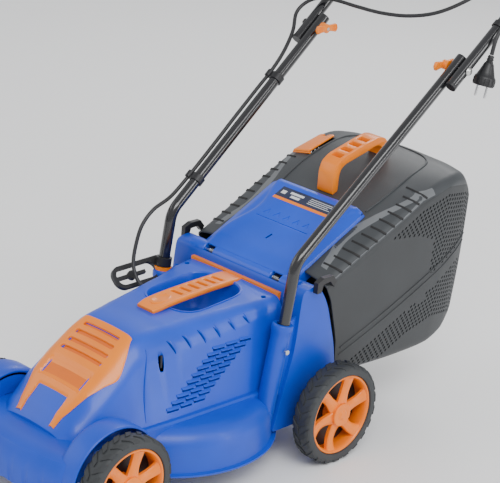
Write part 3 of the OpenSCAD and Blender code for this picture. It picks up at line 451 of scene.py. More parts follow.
def turned(name, start, way, rows, side=1, count=48):  # rows are (distance along the axis, radius)
    way = Vector(way).normalized()
    across = way.cross(Vector((1, 0, 0))).normalized()
    sideways = across.cross(way)
    rings = []
    for t, r in rows:
        centre = Vector(start) + way * t
        ring = []
        for k in range(count):
            a = 2 * math.pi * k / count
            p = centre + across * (math.cos(a) * r) + sideways * (math.sin(a) * r)
            ring.append(point(side * p.x, p.y, p.z))
        rings.append(ring)
    return loft(name, rings)


# ---- motor hood

hood = {
    "wall": 3.2,
    "baseZ": 123,
    # y, base half width, shoulder half width and height, top half width and height
    "sections": [
        (-268, 64, 60, 126, 46, 130), (-250, 84, 74, 140, 50, 150), (-215, 98, 82, 165, 58, 184),
        (-165, 108, 82, 198, 58, 221), (-124, 112, 80, 226, 57, 250), (-60, 115, 90, 236, 66, 257),
        (60, 117, 101, 248, 86, 266), (146, 119, 110, 262, 100, 273),
    ],
    "crown": 3,
    "shoulderRound": 12,
    "topRound": 14,
    "recessHalf": 58, "recessY": (-14, 128), "recessFloor": 214, "recessDeep": 48,
    "recessRound": 44,
    "slitY": [-74, -45, -16, 13, 42, 71],
    "louvres": 10, "louvreLow": 139, "louvrePitch": 8.4,
    "louvreStart": -92, "louvreStep": 11, "louvreEnd": 104,
}


def hoodKeys(y):
    first = atLevel([s[:4] for s in hood["sections"]], y)
    second = atLevel([(s[0], s[4], s[5], 0) for s in hood["sections"]], y)
    return first.x, first.y, first.z, second.x, second.y


def hoodOutline(y, grow=0.0):
    base, shoulder, shoulderZ, top, topZ = hoodKeys(y)
    g = grow
    half = [(base + g, hood["baseZ"]), (shoulder + g, shoulderZ + g / 2), (top + g / 2, topZ + g)]
    left = [(-x, z, 0) for x, z in half]
    right = [(x, z, 0) for x, z in half[::-1]]
    corners = left + [(0, topZ + hood["crown"] + g, 0)] + right
    radii = [0, hood["shoulderRound"], hood["topRound"], top * 0.8, hood["topRound"],
             hood["shoulderRound"], 0]
    return [(v.x, v.y) for v in roundCorners(corners, radii, 6)]


def onOutline(outline, value, axis):  # where the left half of an outline passes a given width or height
    half = [p for p in outline if p[0] >= 0]
    for a, b in zip(half, half[1:]):
        lo, hi = sorted((a[axis], b[axis]))
        if lo <= value <= hi and hi > lo:
            t = (value - a[axis]) / (b[axis] - a[axis])
            return a[1 - axis] + (b[1 - axis] - a[1 - axis]) * t
    return half[-1][1 - axis] if axis else half[0][1 - axis]


def hoodTop(x, y, grow=0.0):
    return onOutline(hoodOutline(y, grow), abs(x), 0)


def hoodSide(z, y, grow=0.0):
    return onOutline(hoodOutline(y, grow), z, 1)


def overShoulder(y, side, fromX, toZ, lean, count=9, lift=0.0):  # a line across the hood's shoulder
    outline = [p for p in hoodOutline(y, lift) if p[0] >= fromX and p[1] >= toZ]
    if outline[0][1] < outline[-1][1]:
        outline.reverse()
    steps = [0]
    for a, b in zip(outline, outline[1:]):
        steps.append(steps[-1] + math.dist(a, b))
    path = []
    for k in range(count):
        want = steps[-1] * k / (count - 1)
        i = max(1, next(n for n, reach in enumerate(steps) if reach >= want - 1e-6))
        t = (want - steps[i - 1]) / max(steps[i] - steps[i - 1], 1e-6)
        x, z = (outline[i - 1][n] + (outline[i][n] - outline[i - 1][n]) * t for n in (0, 1))
        path.append((side * x, y + lean * k / (count - 1), z))
    return path


def slitEnds(y):  # the slits get shorter towards the back
    return 78 + (y + 70) * 0.13, hoodKeys(y)[2] - 17 + (y + 70) * 0.05


def slitCutter(y, side):
    fromX, toZ = slitEnds(y)
    return sweep("slit", overShoulder(y, side, fromX, toZ, 9), roundedSection(1.5, 5, 1, 2),
                 up=(side * 0.5, 0, 1), taper=lambda t: 0.45 + 0.55 * math.sin(math.pi * t))


def slitLip(y, side):
    fromX, toZ = slitEnds(y)
    path = overShoulder(y + 3.4, side, fromX - 1, toZ - 2, 9, 12, 0.2)
    return sweep("lip", path, circleSection(2.2, 10), up=(0, 1, 0),
                 taper=lambda t: 0.25 + 0.75 * math.sin(math.pi * t))


def louvreRuns(row):  # short slots that climb the side in steps from front to back
    start = hood["louvreStart"] + row * hood["louvreStep"]
    runs = []
    for k in range(3):
        y0 = start + k * 27
        if y0 + 23 < hood["louvreEnd"]:
            runs.append((y0, y0 + 23, hood["louvreLow"] + row * hood["louvrePitch"] + k * 1.6))
    return runs


def louvreCutter(run, side):
    y0, y1, z = run
    path = [(side * (hoodSide(z, y) - 0.5), y, z) for y in (y0, (y0 + y1) / 2, y1)]
    return sweep("louvreSlot", path, roundedSection(3.0, 2.3, 1.2, 2), up=(0, 0, 1))


def louvreShelf(run, side):
    y0, y1, z = run
    rings = []
    for k in range(9):
        t = k / 8
        y = y0 - 1 + (y1 - y0 + 2) * t
        x = hoodSide(z, y)
        out = 3.0 * min(1, 5 * math.sin(math.pi * (0.03 + 0.94 * t)))
        section = [(x - 2.6, z + 5.2), (x - 0.3, z + 5.4), (x + out, z + 3.1), (x + out, z + 2.2),
                   (x - 2.6, z + 2.1)]
        rings.append([point(side * u, y, v) for u, v in section])
    return loft("louvre", rings)


def bowlHeight(top, z):  # the rim follows the hood's top, the floor is level
    if z > -2:
        return top + z
    deep = hood["recessDeep"]
    height = hood["recessFloor"] + deep + z
    if z >= -40:
        height += (top - hood["recessFloor"] - deep) * (deep + z) / deep
    return height


def makeHood():
    rings = []
    low, high = hood["sections"][0][0], hood["sections"][-1][0]
    for k in range(70):
        y = low + (high - low) * k / 69
        rings.append([point(x, y, z) for x, z in hoodOutline(y)])
    size = len(rings[0])
    verts = [v for r in rings for v in r]
    faces = ringFaces(len(rings), size, False)
    faces.append(tuple(range(size)))  # the short front wall
    faces.append(tuple(range(len(verts) - 1, len(verts) - size - 1, -1)))
    body = newObject("hoodShell", verts, faces)
    fixNormals(body)
    thicken(body, hood["wall"])
    half, (y0, y1) = hood["recessHalf"], hood["recessY"]
    mouth = roundedBox(-half, y0, half, y1, hood["recessRound"], 8)
    cutters = [slab("mouth", mouth, 200, 320, "Z")]
    cutters.append(slab("intake", [(-42, -226), (42, -226), (42, -134), (-42, -134)], 150, 300, "Z"))
    for side in (1, -1):
        cutters += [slitCutter(y, side) for y in hood["slitY"]]
        cutters += [louvreCutter(run, side) for row in range(hood["louvres"]) for run in louvreRuns(row)]
        cutters.append(lathe("screwHole", [(0, 200), (5.2, 200), (5.2, 300), (0, 300)],
                             (side * 88, -92, 0), steps=20))
        cutters.append(lathe("screwHole", [(0, 200), (4.4, 200), (4.4, 300), (0, 300)],
                             (side * 88, 126, 0), steps=20))
    cutAway(body, cutters)
    dress(body, "chassis", "hoodBlue", ["hood"])
    # finger bowl under the carry handle: rim, rolled edge, sloping wall and floor
    rings = []
    for inset, z in ((-1.5, 1.2), (0.5, 1.2), (2.2, -1.2), (4.5, -20), (9, -38), (16, -46), (30, -48)):
        ring = []
        for u, v in mouth:
            away = Vector((u, v - (y0 + y1) / 2, 0)) * (1 - inset / 60)
            top = hoodTop(min(abs(u), half), min(max(v, y0), y1))
            ring.append(point(away.x, away.y + (y0 + y1) / 2, bowlHeight(top, z)))
        rings.append(ring)
    bowl = loft("hoodBowl", rings, ends=False)
    floorRing = [v.index for v in bowl.data.vertices
                 if abs(v.co.z - min(w.co.z for w in bowl.data.vertices)) < 1e-5]
    work = bmesh.new()
    work.from_mesh(bowl.data)
    work.verts.ensure_lookup_table()
    edges = [e for e in work.edges if e.is_boundary and all(v.index in floorRing for v in e.verts)]
    bmesh.ops.contextual_create(work, geom=edges)
    work.to_mesh(bowl.data)
    work.free()
    thicken(bowl, 2)
    dress(bowl, "chassis", "hoodBlue")
    lips = [slitLip(y, side) for y in hood["slitY"] for side in (1, -1)]
    dress(merge("hoodSlitLips", lips), "chassis", "hoodBlue", angle=60)
    runs = [run for row in range(hood["louvres"]) for run in louvreRuns(row)]
    shelves = [louvreShelf(run, side) for run in runs for side in (1, -1)]
    dress(merge("hoodLouvres", shelves), "chassis", "hoodBlue")
    # parting seam that runs over the shoulder ahead of the slits
    for side, name in ((1, "hoodSeamLeft"), (-1, "hoodSeamRight")):
        path = []
        for k in range(15):
            t = k / 14
            y = -112 - 22 * math.sin(t * 1.5)
            z = 236 - 104 * t
            path.append((side * (hoodSide(z, y) + 0.15), y, z))
        seam = sweep(name, path, roundedSection(1.5, 1.5, 1, 2), up=(0, 1, 0),
                     taper=lambda t: 0.4 + 0.6 * math.sin(math.pi * min(t + 0.1, 1)))
        dress(seam, "chassis", "deckBlue", angle=60)
    print("hood, bowl, slits and louvres are made")


# ---- front grille

grille = {
    # y, half width of the plate
    "outline": [(-124, 55, 0, 0), (-146, 68, 0, 0), (-168, 77, 0, 0), (-190, 71, 0, 0), (-214, 63, 0, 0),
                (-240, 52, 0, 0), (-263, 44, 0, 0)],
    "lift": 3.4,
    "slots": [(-137, 40), (-150, 43), (-163, 45), (-176, 46)],
    "panel": (-191, -219, 46),
    "notch": (-227, 33),
}


def makeGrille():
    rows, cols = 92, 72
    keys = grille["outline"][::-1]
    panelFar, panelNear, panelHalf = grille["panel"]
    notchY, notchHalf = grille["notch"]
    verts = []
    for i in range(rows):
        y = -124 - (263 - 124) * i / (rows - 1)
        half = atLevel(keys, y).x
        for j in range(cols):
            s = -1 + 2 * j / (cols - 1)
            x = s * half
            lift = grille["lift"] * (1 - 0.55 * abs(s) ** 10)
            inPanel = blendIn(panelFar + 1, panelFar - 1.6,
                              y) * (1 - blendIn(panelNear + 1.2, panelNear - 1.2, y))
            inPanel *= 1 - blendIn(panelHalf - 2, panelHalf + 1, abs(x))
            lift -= 4.2 * inPanel * (0.55 + 0.45 * blendIn(panelFar, panelFar - 10, y))
            inNotch = blendIn(notchY, notchY - 2, y) * (1 - blendIn(notchHalf - 2, notchHalf + 1.2, abs(x)))
            lift -= 7.5 * inNotch
            ledge = math.exp(-((y - panelNear - 2) / 2.2) ** 2)
            ledge *= 1 - blendIn(panelHalf - 4, panelHalf, abs(x))
            lift += 1.6 * ledge
            verts.append(point(x, y, hoodTop(x, y, 0) + lift))
    faces = ringFaces(rows, cols, False)
    plate = newObject("frontGrille", verts, faces)
    faceUp(plate)
    thicken(plate, 3.0)
    cutters = []
    for y, half in grille["slots"]:
        cutters.append(slab("slot", roundedBox(-half, y - 3.4, half, y + 3.4, 3.3, 4), 140, 320, "Z"))
    cutters.append(slab("notch", roundedBox(-24, -300, 24, -243, 8, 5), 90, 320, "Z"))
    cutAway(plate, cutters)
    soften(plate, 0.7, 2, 40)
    dress(plate, "chassis", "trimOrange", ["front_grille"])
    # pads in the darker orange colour the floors of the grille's recesses: painted shade in the recesses
    for name, (y0, y1, half), drop, finish in (
            ("grilleBacking", (-183, -130, 50), -1.4, "shadedRecessOrange"),
            ("grillePanel", (panelFar - 3, panelNear + 3.4, panelHalf - 4), -0.6, "shadedRecessOrange"),
            ("grilleFoot", (notchY - 3, -242, notchHalf - 5), -3.6, "shadedRecessOrange")):
        strip = []
        for i in range(16):
            y = y0 + (y1 - y0) * i / 15
            for j in range(21):
                x = half * (-1 + 0.1 * j)
                strip.append(point(x, y, hoodTop(x, y) + drop))
        pad = newObject(name, strip, ringFaces(16, 21, False))
        faceUp(pad)
        thicken(pad, 1.2)
        dress(pad, "chassis", finish)
    print("grille is made")


# ---- carry handle on the hood

carry = {
    "path": [(-48, 261.5), (-30, 265.5), (-10, 268), (20, 270.2), (60, 272.2), (100, 273.4), (130, 274),
             (147, 273)],
    "half": (21, 4.4),
    "slots": [18, 36, 54, 72, 90, 107],
}


def makeCarryHandle():
    path = [(0, v.x, v.y) for v in smoothPath([(y, z, 0) for y, z in carry["path"]], 6)]
    w, h = carry["half"]
    grip = sweep("carryHandle", path, roundedSection(w, h, 3.4, 5),
                 taper=lambda t: 0.86 + 0.14 * min(1, 8 * min(t, 1 - t)))
    cutters = []
    for y in carry["slots"]:
        outline = [(-12, y - 3.6), (12, y - 1.2), (12, y + 6.2), (-12, y + 3.8)]
        cutters.append(slab("slot", roundedOutline(outline, [3] * 4, 4), 250, 300, "Z"))
    cutAway(grip, cutters)
    soften(grip, 0.8, 2, 40)
    dress(grip, "chassis", "trimOrange", ["carry_handle"])
    badge = [(0, -38), (11, -30), (14, -14), (9, 2), (0, 8), (-9, 2), (-14, -14), (-11, -30)]
    outline = roundedOutline(badge, [6] * 8, 4)
    rings = []
    for size, lift in ((1.0, 2.6), (0.96, 5.2), (0.80, 6.0), (0.66, 5.0)):
        ring = []
        for x, y in outline:
            yy = -15 + (y + 15) * size
            ring.append(point(x * size, yy, 266.4 + (yy + 20) * 0.1 + lift))
        rings.append(ring)
    oval = loft("carryOval", rings)
    dress(oval, "chassis", "trimOrange")
    print("carry handle is made")


makeHood()
makeGrille()
makeCarryHandle()
# ---- wheels

wheels = {
    "treadBlocks": 22, "blockHeight": 2.4,
    "spokes": 6, "twist": 16,
}


def wheelPlace(name):  # middle height and depth, tyre radius, lowest and highest width
    low, high = nodeBox(name + "_tyre")
    return (low.y + high.y) / 2, (high.z - low.z) / 2, low.x, high.x


def tyreProfile(r, w, wall):
    core = r - wheels["blockHeight"]
    rows = [(r - wall, 1.5), (r - wall + 1.2, 0), (r - wall + 5, -0.6), (core - 5, 0.4),
            (core - 1.6, 2.2), (core, 5.5),
            (core + 0.4, w / 2), (core, w - 5.5), (core - 1.6, w - 2.2), (core - 5, w - 0.4),
            (r - wall + 5, w + 0.6), (r - wall + 1.2, w), (r - wall, w - 1.5)]
    return [(a, min(max(b, 0), w)) for a, b in rows]


def treadBlock(x, y, z, r, w, side, turn):
    rings = []
    top = r
    low = r - wheels["blockHeight"] - 0.8
    # one half of a chevron, from the shoulder to just short of the middle
    for k in range(7):
        t = k / 6
        across = (0.6 + t * (w / 2 - 2.4)) if side > 0 else (w - 0.6 - t * (w / 2 - 2.4))
        lead = turn + math.radians(9.5 * t - 2)
        span = math.radians(4.6 - 1.3 * t)
        crown = top - 3.4 * (1 - min(1, t * 2.6)) ** 2
        ring = []
        for a, h in ((lead - span, low - (top - crown)), (lead - span, crown - 0.5),
                     (lead - span * 0.9, crown), (lead + span * 0.9, crown), (lead + span, crown - 0.5),
                     (lead + span, low - (top - crown))):
            ring.append(point(x + across, y + h * math.cos(a), z + h * math.sin(a)))
        rings.append(ring)
    return loft("treadBlock", rings)


def makeWheel(name):
    y0, z0, start, end = wheelPlace(name)
    radius, width = z0, end - start
    outward = 1 if start > 0 else -1
    body = name + "_wheel"
    wall = 17
    profile = tyreProfile(radius, width, wall)
    profile.append(profile[0])
    ring = lathe(name + "Tyre", profile, (start, y0, z0), "X", 120)
    dress(ring, body, "tyreGrey", [name + "_tyre"], angle=40)
    blocks = []
    count = wheels["treadBlocks"]
    for k in range(count):
        for side in (1, -1):
            turn = 2 * math.pi * (k + (0.5 if side < 0 else 0)) / count
            blocks.append(treadBlock(start, y0, z0, radius, width, side, turn))
    tread = merge(name + "Tread", blocks)
    dress(tread, body, "treadGrey", angle=25)

    bead = radius - wall - 0.3
    mid = start + width / 2

    def across(h):  # distance outwards from the middle of the wheel
        return mid + outward * h

    rimRings = [(bead, -14.5), (bead, 14.2), (bead - 1.0, 15.6), (bead - 3.4, 15.6), (bead - 4.6, 14.2),
                (bead - 6.0, 9), (bead - 6.4, -12), (bead - 5.0, -14.5), (bead, -14.5)]
    barrel = lathe(name + "Barrel", [(r, across(h)) for r, h in rimRings], (0, y0, z0), "X", 96)
    hubRings = [(5.7, -15), (17.6, -15), (17.6, 11.4), (17.0, 12.6), (12.6, 13.4), (5.7, 13.4), (5.7, -15)]
    hub = lathe(name + "Hub", [(r, across(h)) for r, h in hubRings], (0, y0, z0), "X", 64)
    spokes = []
    for k in range(wheels["spokes"]):
        a = 2 * math.pi * k / wheels["spokes"] + math.radians(12)
        rings = []
        for i in range(9):
            t = i / 8
            r = 16.0 + (bead - 5.2 - 16.0) * t
            lead = a + outward * math.radians(wheels["twist"]) * (t - 0.4) ** 2
            half = (8.2 + 3.4 * (2 * t - 1) ** 2)
            face = 12.6 - 6.0 * math.sin(math.pi * t) * 0.55 + 1.0 * t
            ring = []
            for u, h in ((-half, face - 7.5), (-half, face - 1.6), (-half + 1.6, face),
                         (-2.4, face + 0.3), (0, face + 1.0),
                         (2.4, face + 0.3), (half - 1.6, face - 1.2), (half, face - 3.0),
                         (half, face - 7.5)):
                y = r * math.cos(lead) - u * outward * math.sin(lead)
                v = r * math.sin(lead) + u * outward * math.cos(lead)
                ring.append(point(across(h), y0 + y, z0 + v))
            rings.append(ring)
        spokes.append(loft("spoke", rings))
    # dark disc behind the spokes: painted shade, so the gaps between the spokes read dark
    shade = [(17.2, across(-12.4)), (bead - 5.8, across(-12.4)), (bead - 5.8, across(-10.6)),
             (17.2, across(-10.6)), (17.2, across(-12.4))]
    paintedShadeDisc = lathe(name + "PaintedShadeDisc", shade, (0, y0, z0), "X", 64)
    dress(paintedShadeDisc, body, "fittingBlack")
    rim = merge(name + "Rim", [barrel, hub] + spokes)
    fixNormals(rim)
    dress(rim, body, "rimOrange", [name + "_rim"], angle=35)
    print(name, "wheel is made")


def makeCap(name):
    y0, z0, start = wheelPlace(name)[:3]
    low, high = nodeBox(name + "_cap")
    inner, outer = (low.x, high.x) if start > 0 else (high.x, low.x)
    r = (high.z - low.z) / 2
    deep = outer - inner

    def at(t):
        return inner + deep * t

    rows = [(r * 0.55, at(0)), (r * 0.97, at(0.02)), (r * 0.98, at(0.58)), (r * 0.92, at(0.74)),
            (r * 0.72, at(0.80)),
            (r * 0.56, at(0.72)), (r * 0.46, at(0.70)), (r * 0.38, at(0.80)), (r * 0.30, at(0.97)),
            (r * 0.14, at(1.0)), (0.05, at(1.0))]
    cap = lathe(name + "Cap", rows, (0, y0, z0), "X", 64)
    dress(cap, name + "_wheel", "rimOrange", [name + "_cap"], angle=30)


for wheelName in ("rear_left", "rear_right", "front_left", "front_right"):
    makeWheel(wheelName)
    makeCap(wheelName)

# ---- deck: dome, bumper, arches and rear housing

deck = {
    "domeR": 183, "domeTop": 122, "flangeZ": 48,
    "bow": 420, "front": -332, "bumperTop": 122, "bumperLow": 58,
    "archR": 79, "archIn": 104, "archOut": 147, "axleY": -226, "axleZ": 81,
    "rear": [(112, 60), (148, 196), (152, 262), (156, 293), (190, 298), (216, 262), (242, 184),
             (250, 142), (252, 96), (244, 60)],
    "rearRound": [4, 30, 14, 10, 14, 20, 14, 10, 14, 6],
    "half": 146,
    "stubFoot": 185, "lean": 7.5, "splay": 1.8, "corner": (141.5, 135, 345), "socketR": 15.5, "tubeR": 9.5,
}


def makeDome():
    top, low = deck["domeTop"], deck["flangeZ"]
    rows = [(12, top + 4), (60, top + 3), (118, top + 1), (150, top - 1), (164, top - 5), (173, top - 12),
            (178.5, top - 23),
            (181, top - 40), (182, low + 12), (183, low + 7), (189.5, low + 5.5), (190, low + 3.4),
            (189, low + 2.4),
            (184, low), (179.4, low + 1), (178.4, low + 12), (177.5, top - 40), (175, top - 24),
            (170, top - 15),
            (162, top - 9), (148, top - 4.6), (118, top - 2.4), (60, top - 0.6), (12, top + 0.5),
            (12, top + 4)]
    dome = lathe("deckDome", rows, (0, 0, 0), "Z", 144)
    cut = [slab("chute", [(-95, 60), (95, 60), (95, 240), (-95, 240)], 40, 175, "Z")]
    cutAway(dome, cut)
    dress(dome, "chassis", "deckBlue", ["deck"], angle=30)


def bowFront(x):
    return deck["front"] + deck["bow"] - math.sqrt(deck["bow"] ** 2 - x * x)


def makeBumper():
    rings = []
    count = 150
    for k in range(count):
        x = -148 + 296 * k / (count - 1)
        front = bowFront(x) + 26 * blendIn(118, 148, abs(x))
        rib = 0.5 + 0.5 * math.cos(math.pi * x / 15)
        groove = 1.9 * (rib > 0.86) * (1 - blendIn(112, 120, abs(x)))
        scallop = 3.6 * abs(math.sin(math.pi * x / 30)) * (1 - blendIn(120, 140, abs(x)))
        low = deck["bumperLow"] + scallop
        top = deck["bumperTop"] + 4.5 * math.cos(math.pi * x / 340)
        section = [(front + 5 + groove, low), (front + 1.4 + groove, low + 2.5),
                   (front + groove * 0.9, low + 16),
                   (front + groove * 0.5, low + 30), (front + 1.0, low + 36), (front + 5.5, top - 12),
                   (front + 10, top - 4.4),
                   (front + 18, top - 1.0), (front + 30, top), (front + 124, top + 1.0),
                   (front + 124, top - 2.6),
                   (front + 30, top - 3.6), (front + 19, top - 4.8), (front + 13, top - 7.4),
                   (front + 9, top - 14),
                   (front + 5, low + 34), (front + 4.4 + groove, low + 16), (front + 5.4 + groove, low + 3)]
        rings.append([point(x, y, z) for y, z in section])
    shell = loft("deckBumper", rings)
    cutters = []
    for side in (1, -1):
        cutters.append(lathe("wheelRoom", [(0, side * 116), (deck["archR"] + 5, side * 116),
                                           (deck["archR"] + 5, side * 160),
                                           (0, side * 160)], (0, deck["axleY"], deck["axleZ"]), "X", 64))
    cutAway(shell, cutters)
    dress(shell, "chassis", "deckBlue", angle=34)


def makeArch(side, name):
    # rounded hood over the front wheel's inner side
    rings = []
    cy, cz, r = deck["axleY"], deck["axleZ"], deck["archR"]
    inner, outer = deck["archIn"], deck["archOut"]
    for k in range(61):
        a = math.radians(-6 + 192 * k / 60)
        ring = []
        for x, grow in ((inner, -4.5), (inner, 1.5), (inner + 3.5, 5.0), (inner + 9, 6.6),
                        (inner + 16, 7.0), (outer - 6, 7.0),
                        (outer - 1.6, 6.2), (outer, 4.4), (outer, 3.2), (inner + 9, 3.0),
                        (inner + 4.5, -4.5)):
            ring.append(point(side * x, cy + (r + grow) * math.cos(a), cz + (r + grow) * math.sin(a)))
        rings.append(ring)
    dress(loft(name, rings), "chassis", "deckBlue", angle=34)
    wall = []
    for k in range(49):
        a = math.radians(-6 + 192 * k / 48)
        wall.append((cy + (r + 0.5) * math.cos(a), cz + (r + 0.5) * math.sin(a)))
    plate = slab(name + "Wall", wall, side * inner, side * (inner + 4), "X")
    slot = slab("axleRoom", [(cy - 9, 20), (cy + 9, 20), (cy + 9, 126), (cy - 9, 126)],
                side * (inner - 4), side * (inner + 9), "X")
    cutAway(plate, [slot])
    soften(plate, 1.2, 2, 50)
    dress(plate, "chassis", "deckBlue")


def socketPoint(t):  # distance t up the tube stub from its foot
    lean, splay = math.radians(deck["lean"]), math.radians(deck["splay"])
    way = Vector((-math.sin(splay), -math.sin(lean) * math.cos(splay), -math.cos(lean) * math.cos(splay)))
    return Vector(deck["corner"]) + way * (deck["stubFoot"] - t)


def makeRear():
    half = deck["half"]
    block = slab("deckRear", roundedOutline(deck["rear"], deck["rearRound"], 5), -half, half, "X")
    cutAway(block, [slab("tunnel", [(-93, 90), (93, 90), (93, 320), (-93, 320)], 136, 240, "Z")])
    cutAway(block, [slab("flapRoom", [(-104, 158), (104, 158), (104, 330), (-104, 330)], 232, 330, "Z")])
    cutAway(block, [lathe("bladeRoom", [(0, 40), (174, 40), (174, 116), (0, 116)], (0, 0, 0), steps=72)])
    for side in (1, -1):
        inset = sorted((side * 100, side * 141))
        hollow = [(122, 40), (147, 176), (233, 160), (240, 100), (236, 40)]
        cutAway(block, [slab("hollow", hollow, *inset, "X")])
        room = [(203, 50), (221, 50), (221, 128), (203, 128)]
        cutAway(block, [slab("axleRoom", room, *sorted((side * 140, side * 152)), "X")])
        foot, tip = socketPoint(0), socketPoint(200)
        cutAway(block, [sweep("bore", [(side * foot.x, foot.y, foot.z), (side * tip.x, tip.y, tip.z)],
                              circleSection(deck["tubeR"] + 0.4, 28), up=(1, 0, 0))])
    soften(block, 2.6, 3, 38)
    dress(block, "chassis", "deckBlue", angle=34)
    parts = []
    for side in (1, -1):
        # round socket with a thicker ring at its mouth
        body = deck["socketR"]
        rows = [(-95, body - 2.5), (-88, body), (62, body), (70, body + 0.5), (73.5, 17.4), (80.5, 17.6),
                (83.4, 16.8), (84, 15.2)]
        foot = socketPoint(0)
        rows += [(84, deck["tubeR"] + 0.5), (0, deck["tubeR"] + 0.5), (-40, 3.0)]
        parts.append(turned("socket", foot, socketPoint(100) - foot, rows, side))
        # gusset that runs from the socket back to the housing
        web = [(100, 120), (124, 236), (140, 244), (152, 250), (160, 200), (150, 120)]
        parts.append(slab("web", web, *sorted((side * 134, side * 139.5)), "X"))
    sockets = merge("deckSockets", parts)
    soften(sockets, 0.9, 2, 45)
    dress(sockets, "chassis", "deckBlue", angle=40)
    # shelf that joins dome, hood foot and rear housing
    rings = []
    for k in range(40):
        y = -211 + 349 * k / 39
        base = hoodKeys(min(y, 146))[0]
        edge = base + 9
        low = deck["domeTop"] - 14
        ring = [(-edge, low), (-edge, deck["domeTop"] + 2.0), (-edge + 3, deck["domeTop"] + 5.0),
                (0, deck["domeTop"] + 5.2),
                (edge - 3, deck["domeTop"] + 5.0), (edge, deck["domeTop"] + 2.0), (edge, low),
                (edge - 5, low),
                (edge - 5, deck["domeTop"] - 1), (0, deck["domeTop"]), (-edge + 5, deck["domeTop"] - 1),
                (-edge + 5, low)]
        rings.append([point(x, y, z) for x, z in ring])
    shelf = loft("deckShelf", rings)
    cutAway(shelf, [lathe("motorRoom", [(0, 60), (56, 60), (56, 180), (0, 180)], (0, -118, 0), steps=48)])
    cutAway(shelf, [lathe("bearingRoom", [(0, 60), (66, 60), (66, 180), (0, 180)], (0, 0, 0), steps=48)])
    dress(shelf, "chassis", "deckBlue", angle=30)
    print("deck is made, rear housing has", len(block.data.polygons), "faces")


makeDome()
makeBumper()
makeArch(1, "leftArch")
makeArch(-1, "rightArch")
makeRear()

# ---- rear flap

flap = {
    "hinge": (172, 287), "slope": 26, "half": 101, "long": 190, "top": 13, "ear": 121.3, "shoulder": 17,
    "grooveHalf": 58, "grooveAt": 96,
    # plain blocks on the label: from and to across, from and to up the slope
    "labelBlocks": [(-40, -10, 163, 168), (-34, -14, 155, 160.5), (-58, -48, 158, 166), (4, 52, 168, 169.2),
                    (4, 56, 164, 165.2), (4, 48, 160, 161.2), (4, 54, 156, 157.2)],
}


def flapPoint(x, u, n):
    s = math.radians(flap["slope"])
    return point(x, flap["hinge"][0] + u * math.cos(s) - n * math.sin(s),
                 flap["hinge"][1] + u * math.sin(s) + n * math.cos(s))


def flapHeight(x, u):
    # raised middle whose edge sweeps out in an arc towards the hinge
    edge = 92 - 22 * math.exp(-((u - 118) / 52) ** 2)
    raised = 1 - blendIn(edge - 3, edge + 7, abs(x))
    hollow = math.exp(-((u - 60) / 26) ** 2) * (1 - blendIn(30, 78, abs(x)))
    fall = blendIn(flap["half"] - flap["shoulder"], flap["half"] + 6, abs(x))
    end = blendIn(flap["long"] - 9, flap["long"] + 3, u)
    return flap["top"] + 3.2 * raised * blendIn(6, 34, u) - 1.5 * hollow - 7.5 * fall - 3.4 * end


def engraving(name, outline, deep):  # cutter that bites that deep into the flap's face
    return loft(name, [[flapPoint(x, u, flapHeight(x, u) + n) for x, u in outline] for n in (-deep, 4)])


def sticker(name, x0, x1, u0, u1, lift, finish):
    rings = []
    for k in range(13):
        x = x0 + (x1 - x0) * k / 12
        corners = ((u0, lift), (u1, lift), (u1, lift - 0.5), (u0, lift - 0.5))
        rings.append([flapPoint(x, u, flapHeight(x, u) + n) for u, n in corners])
    dress(loft(name, rings), "flap", finish)


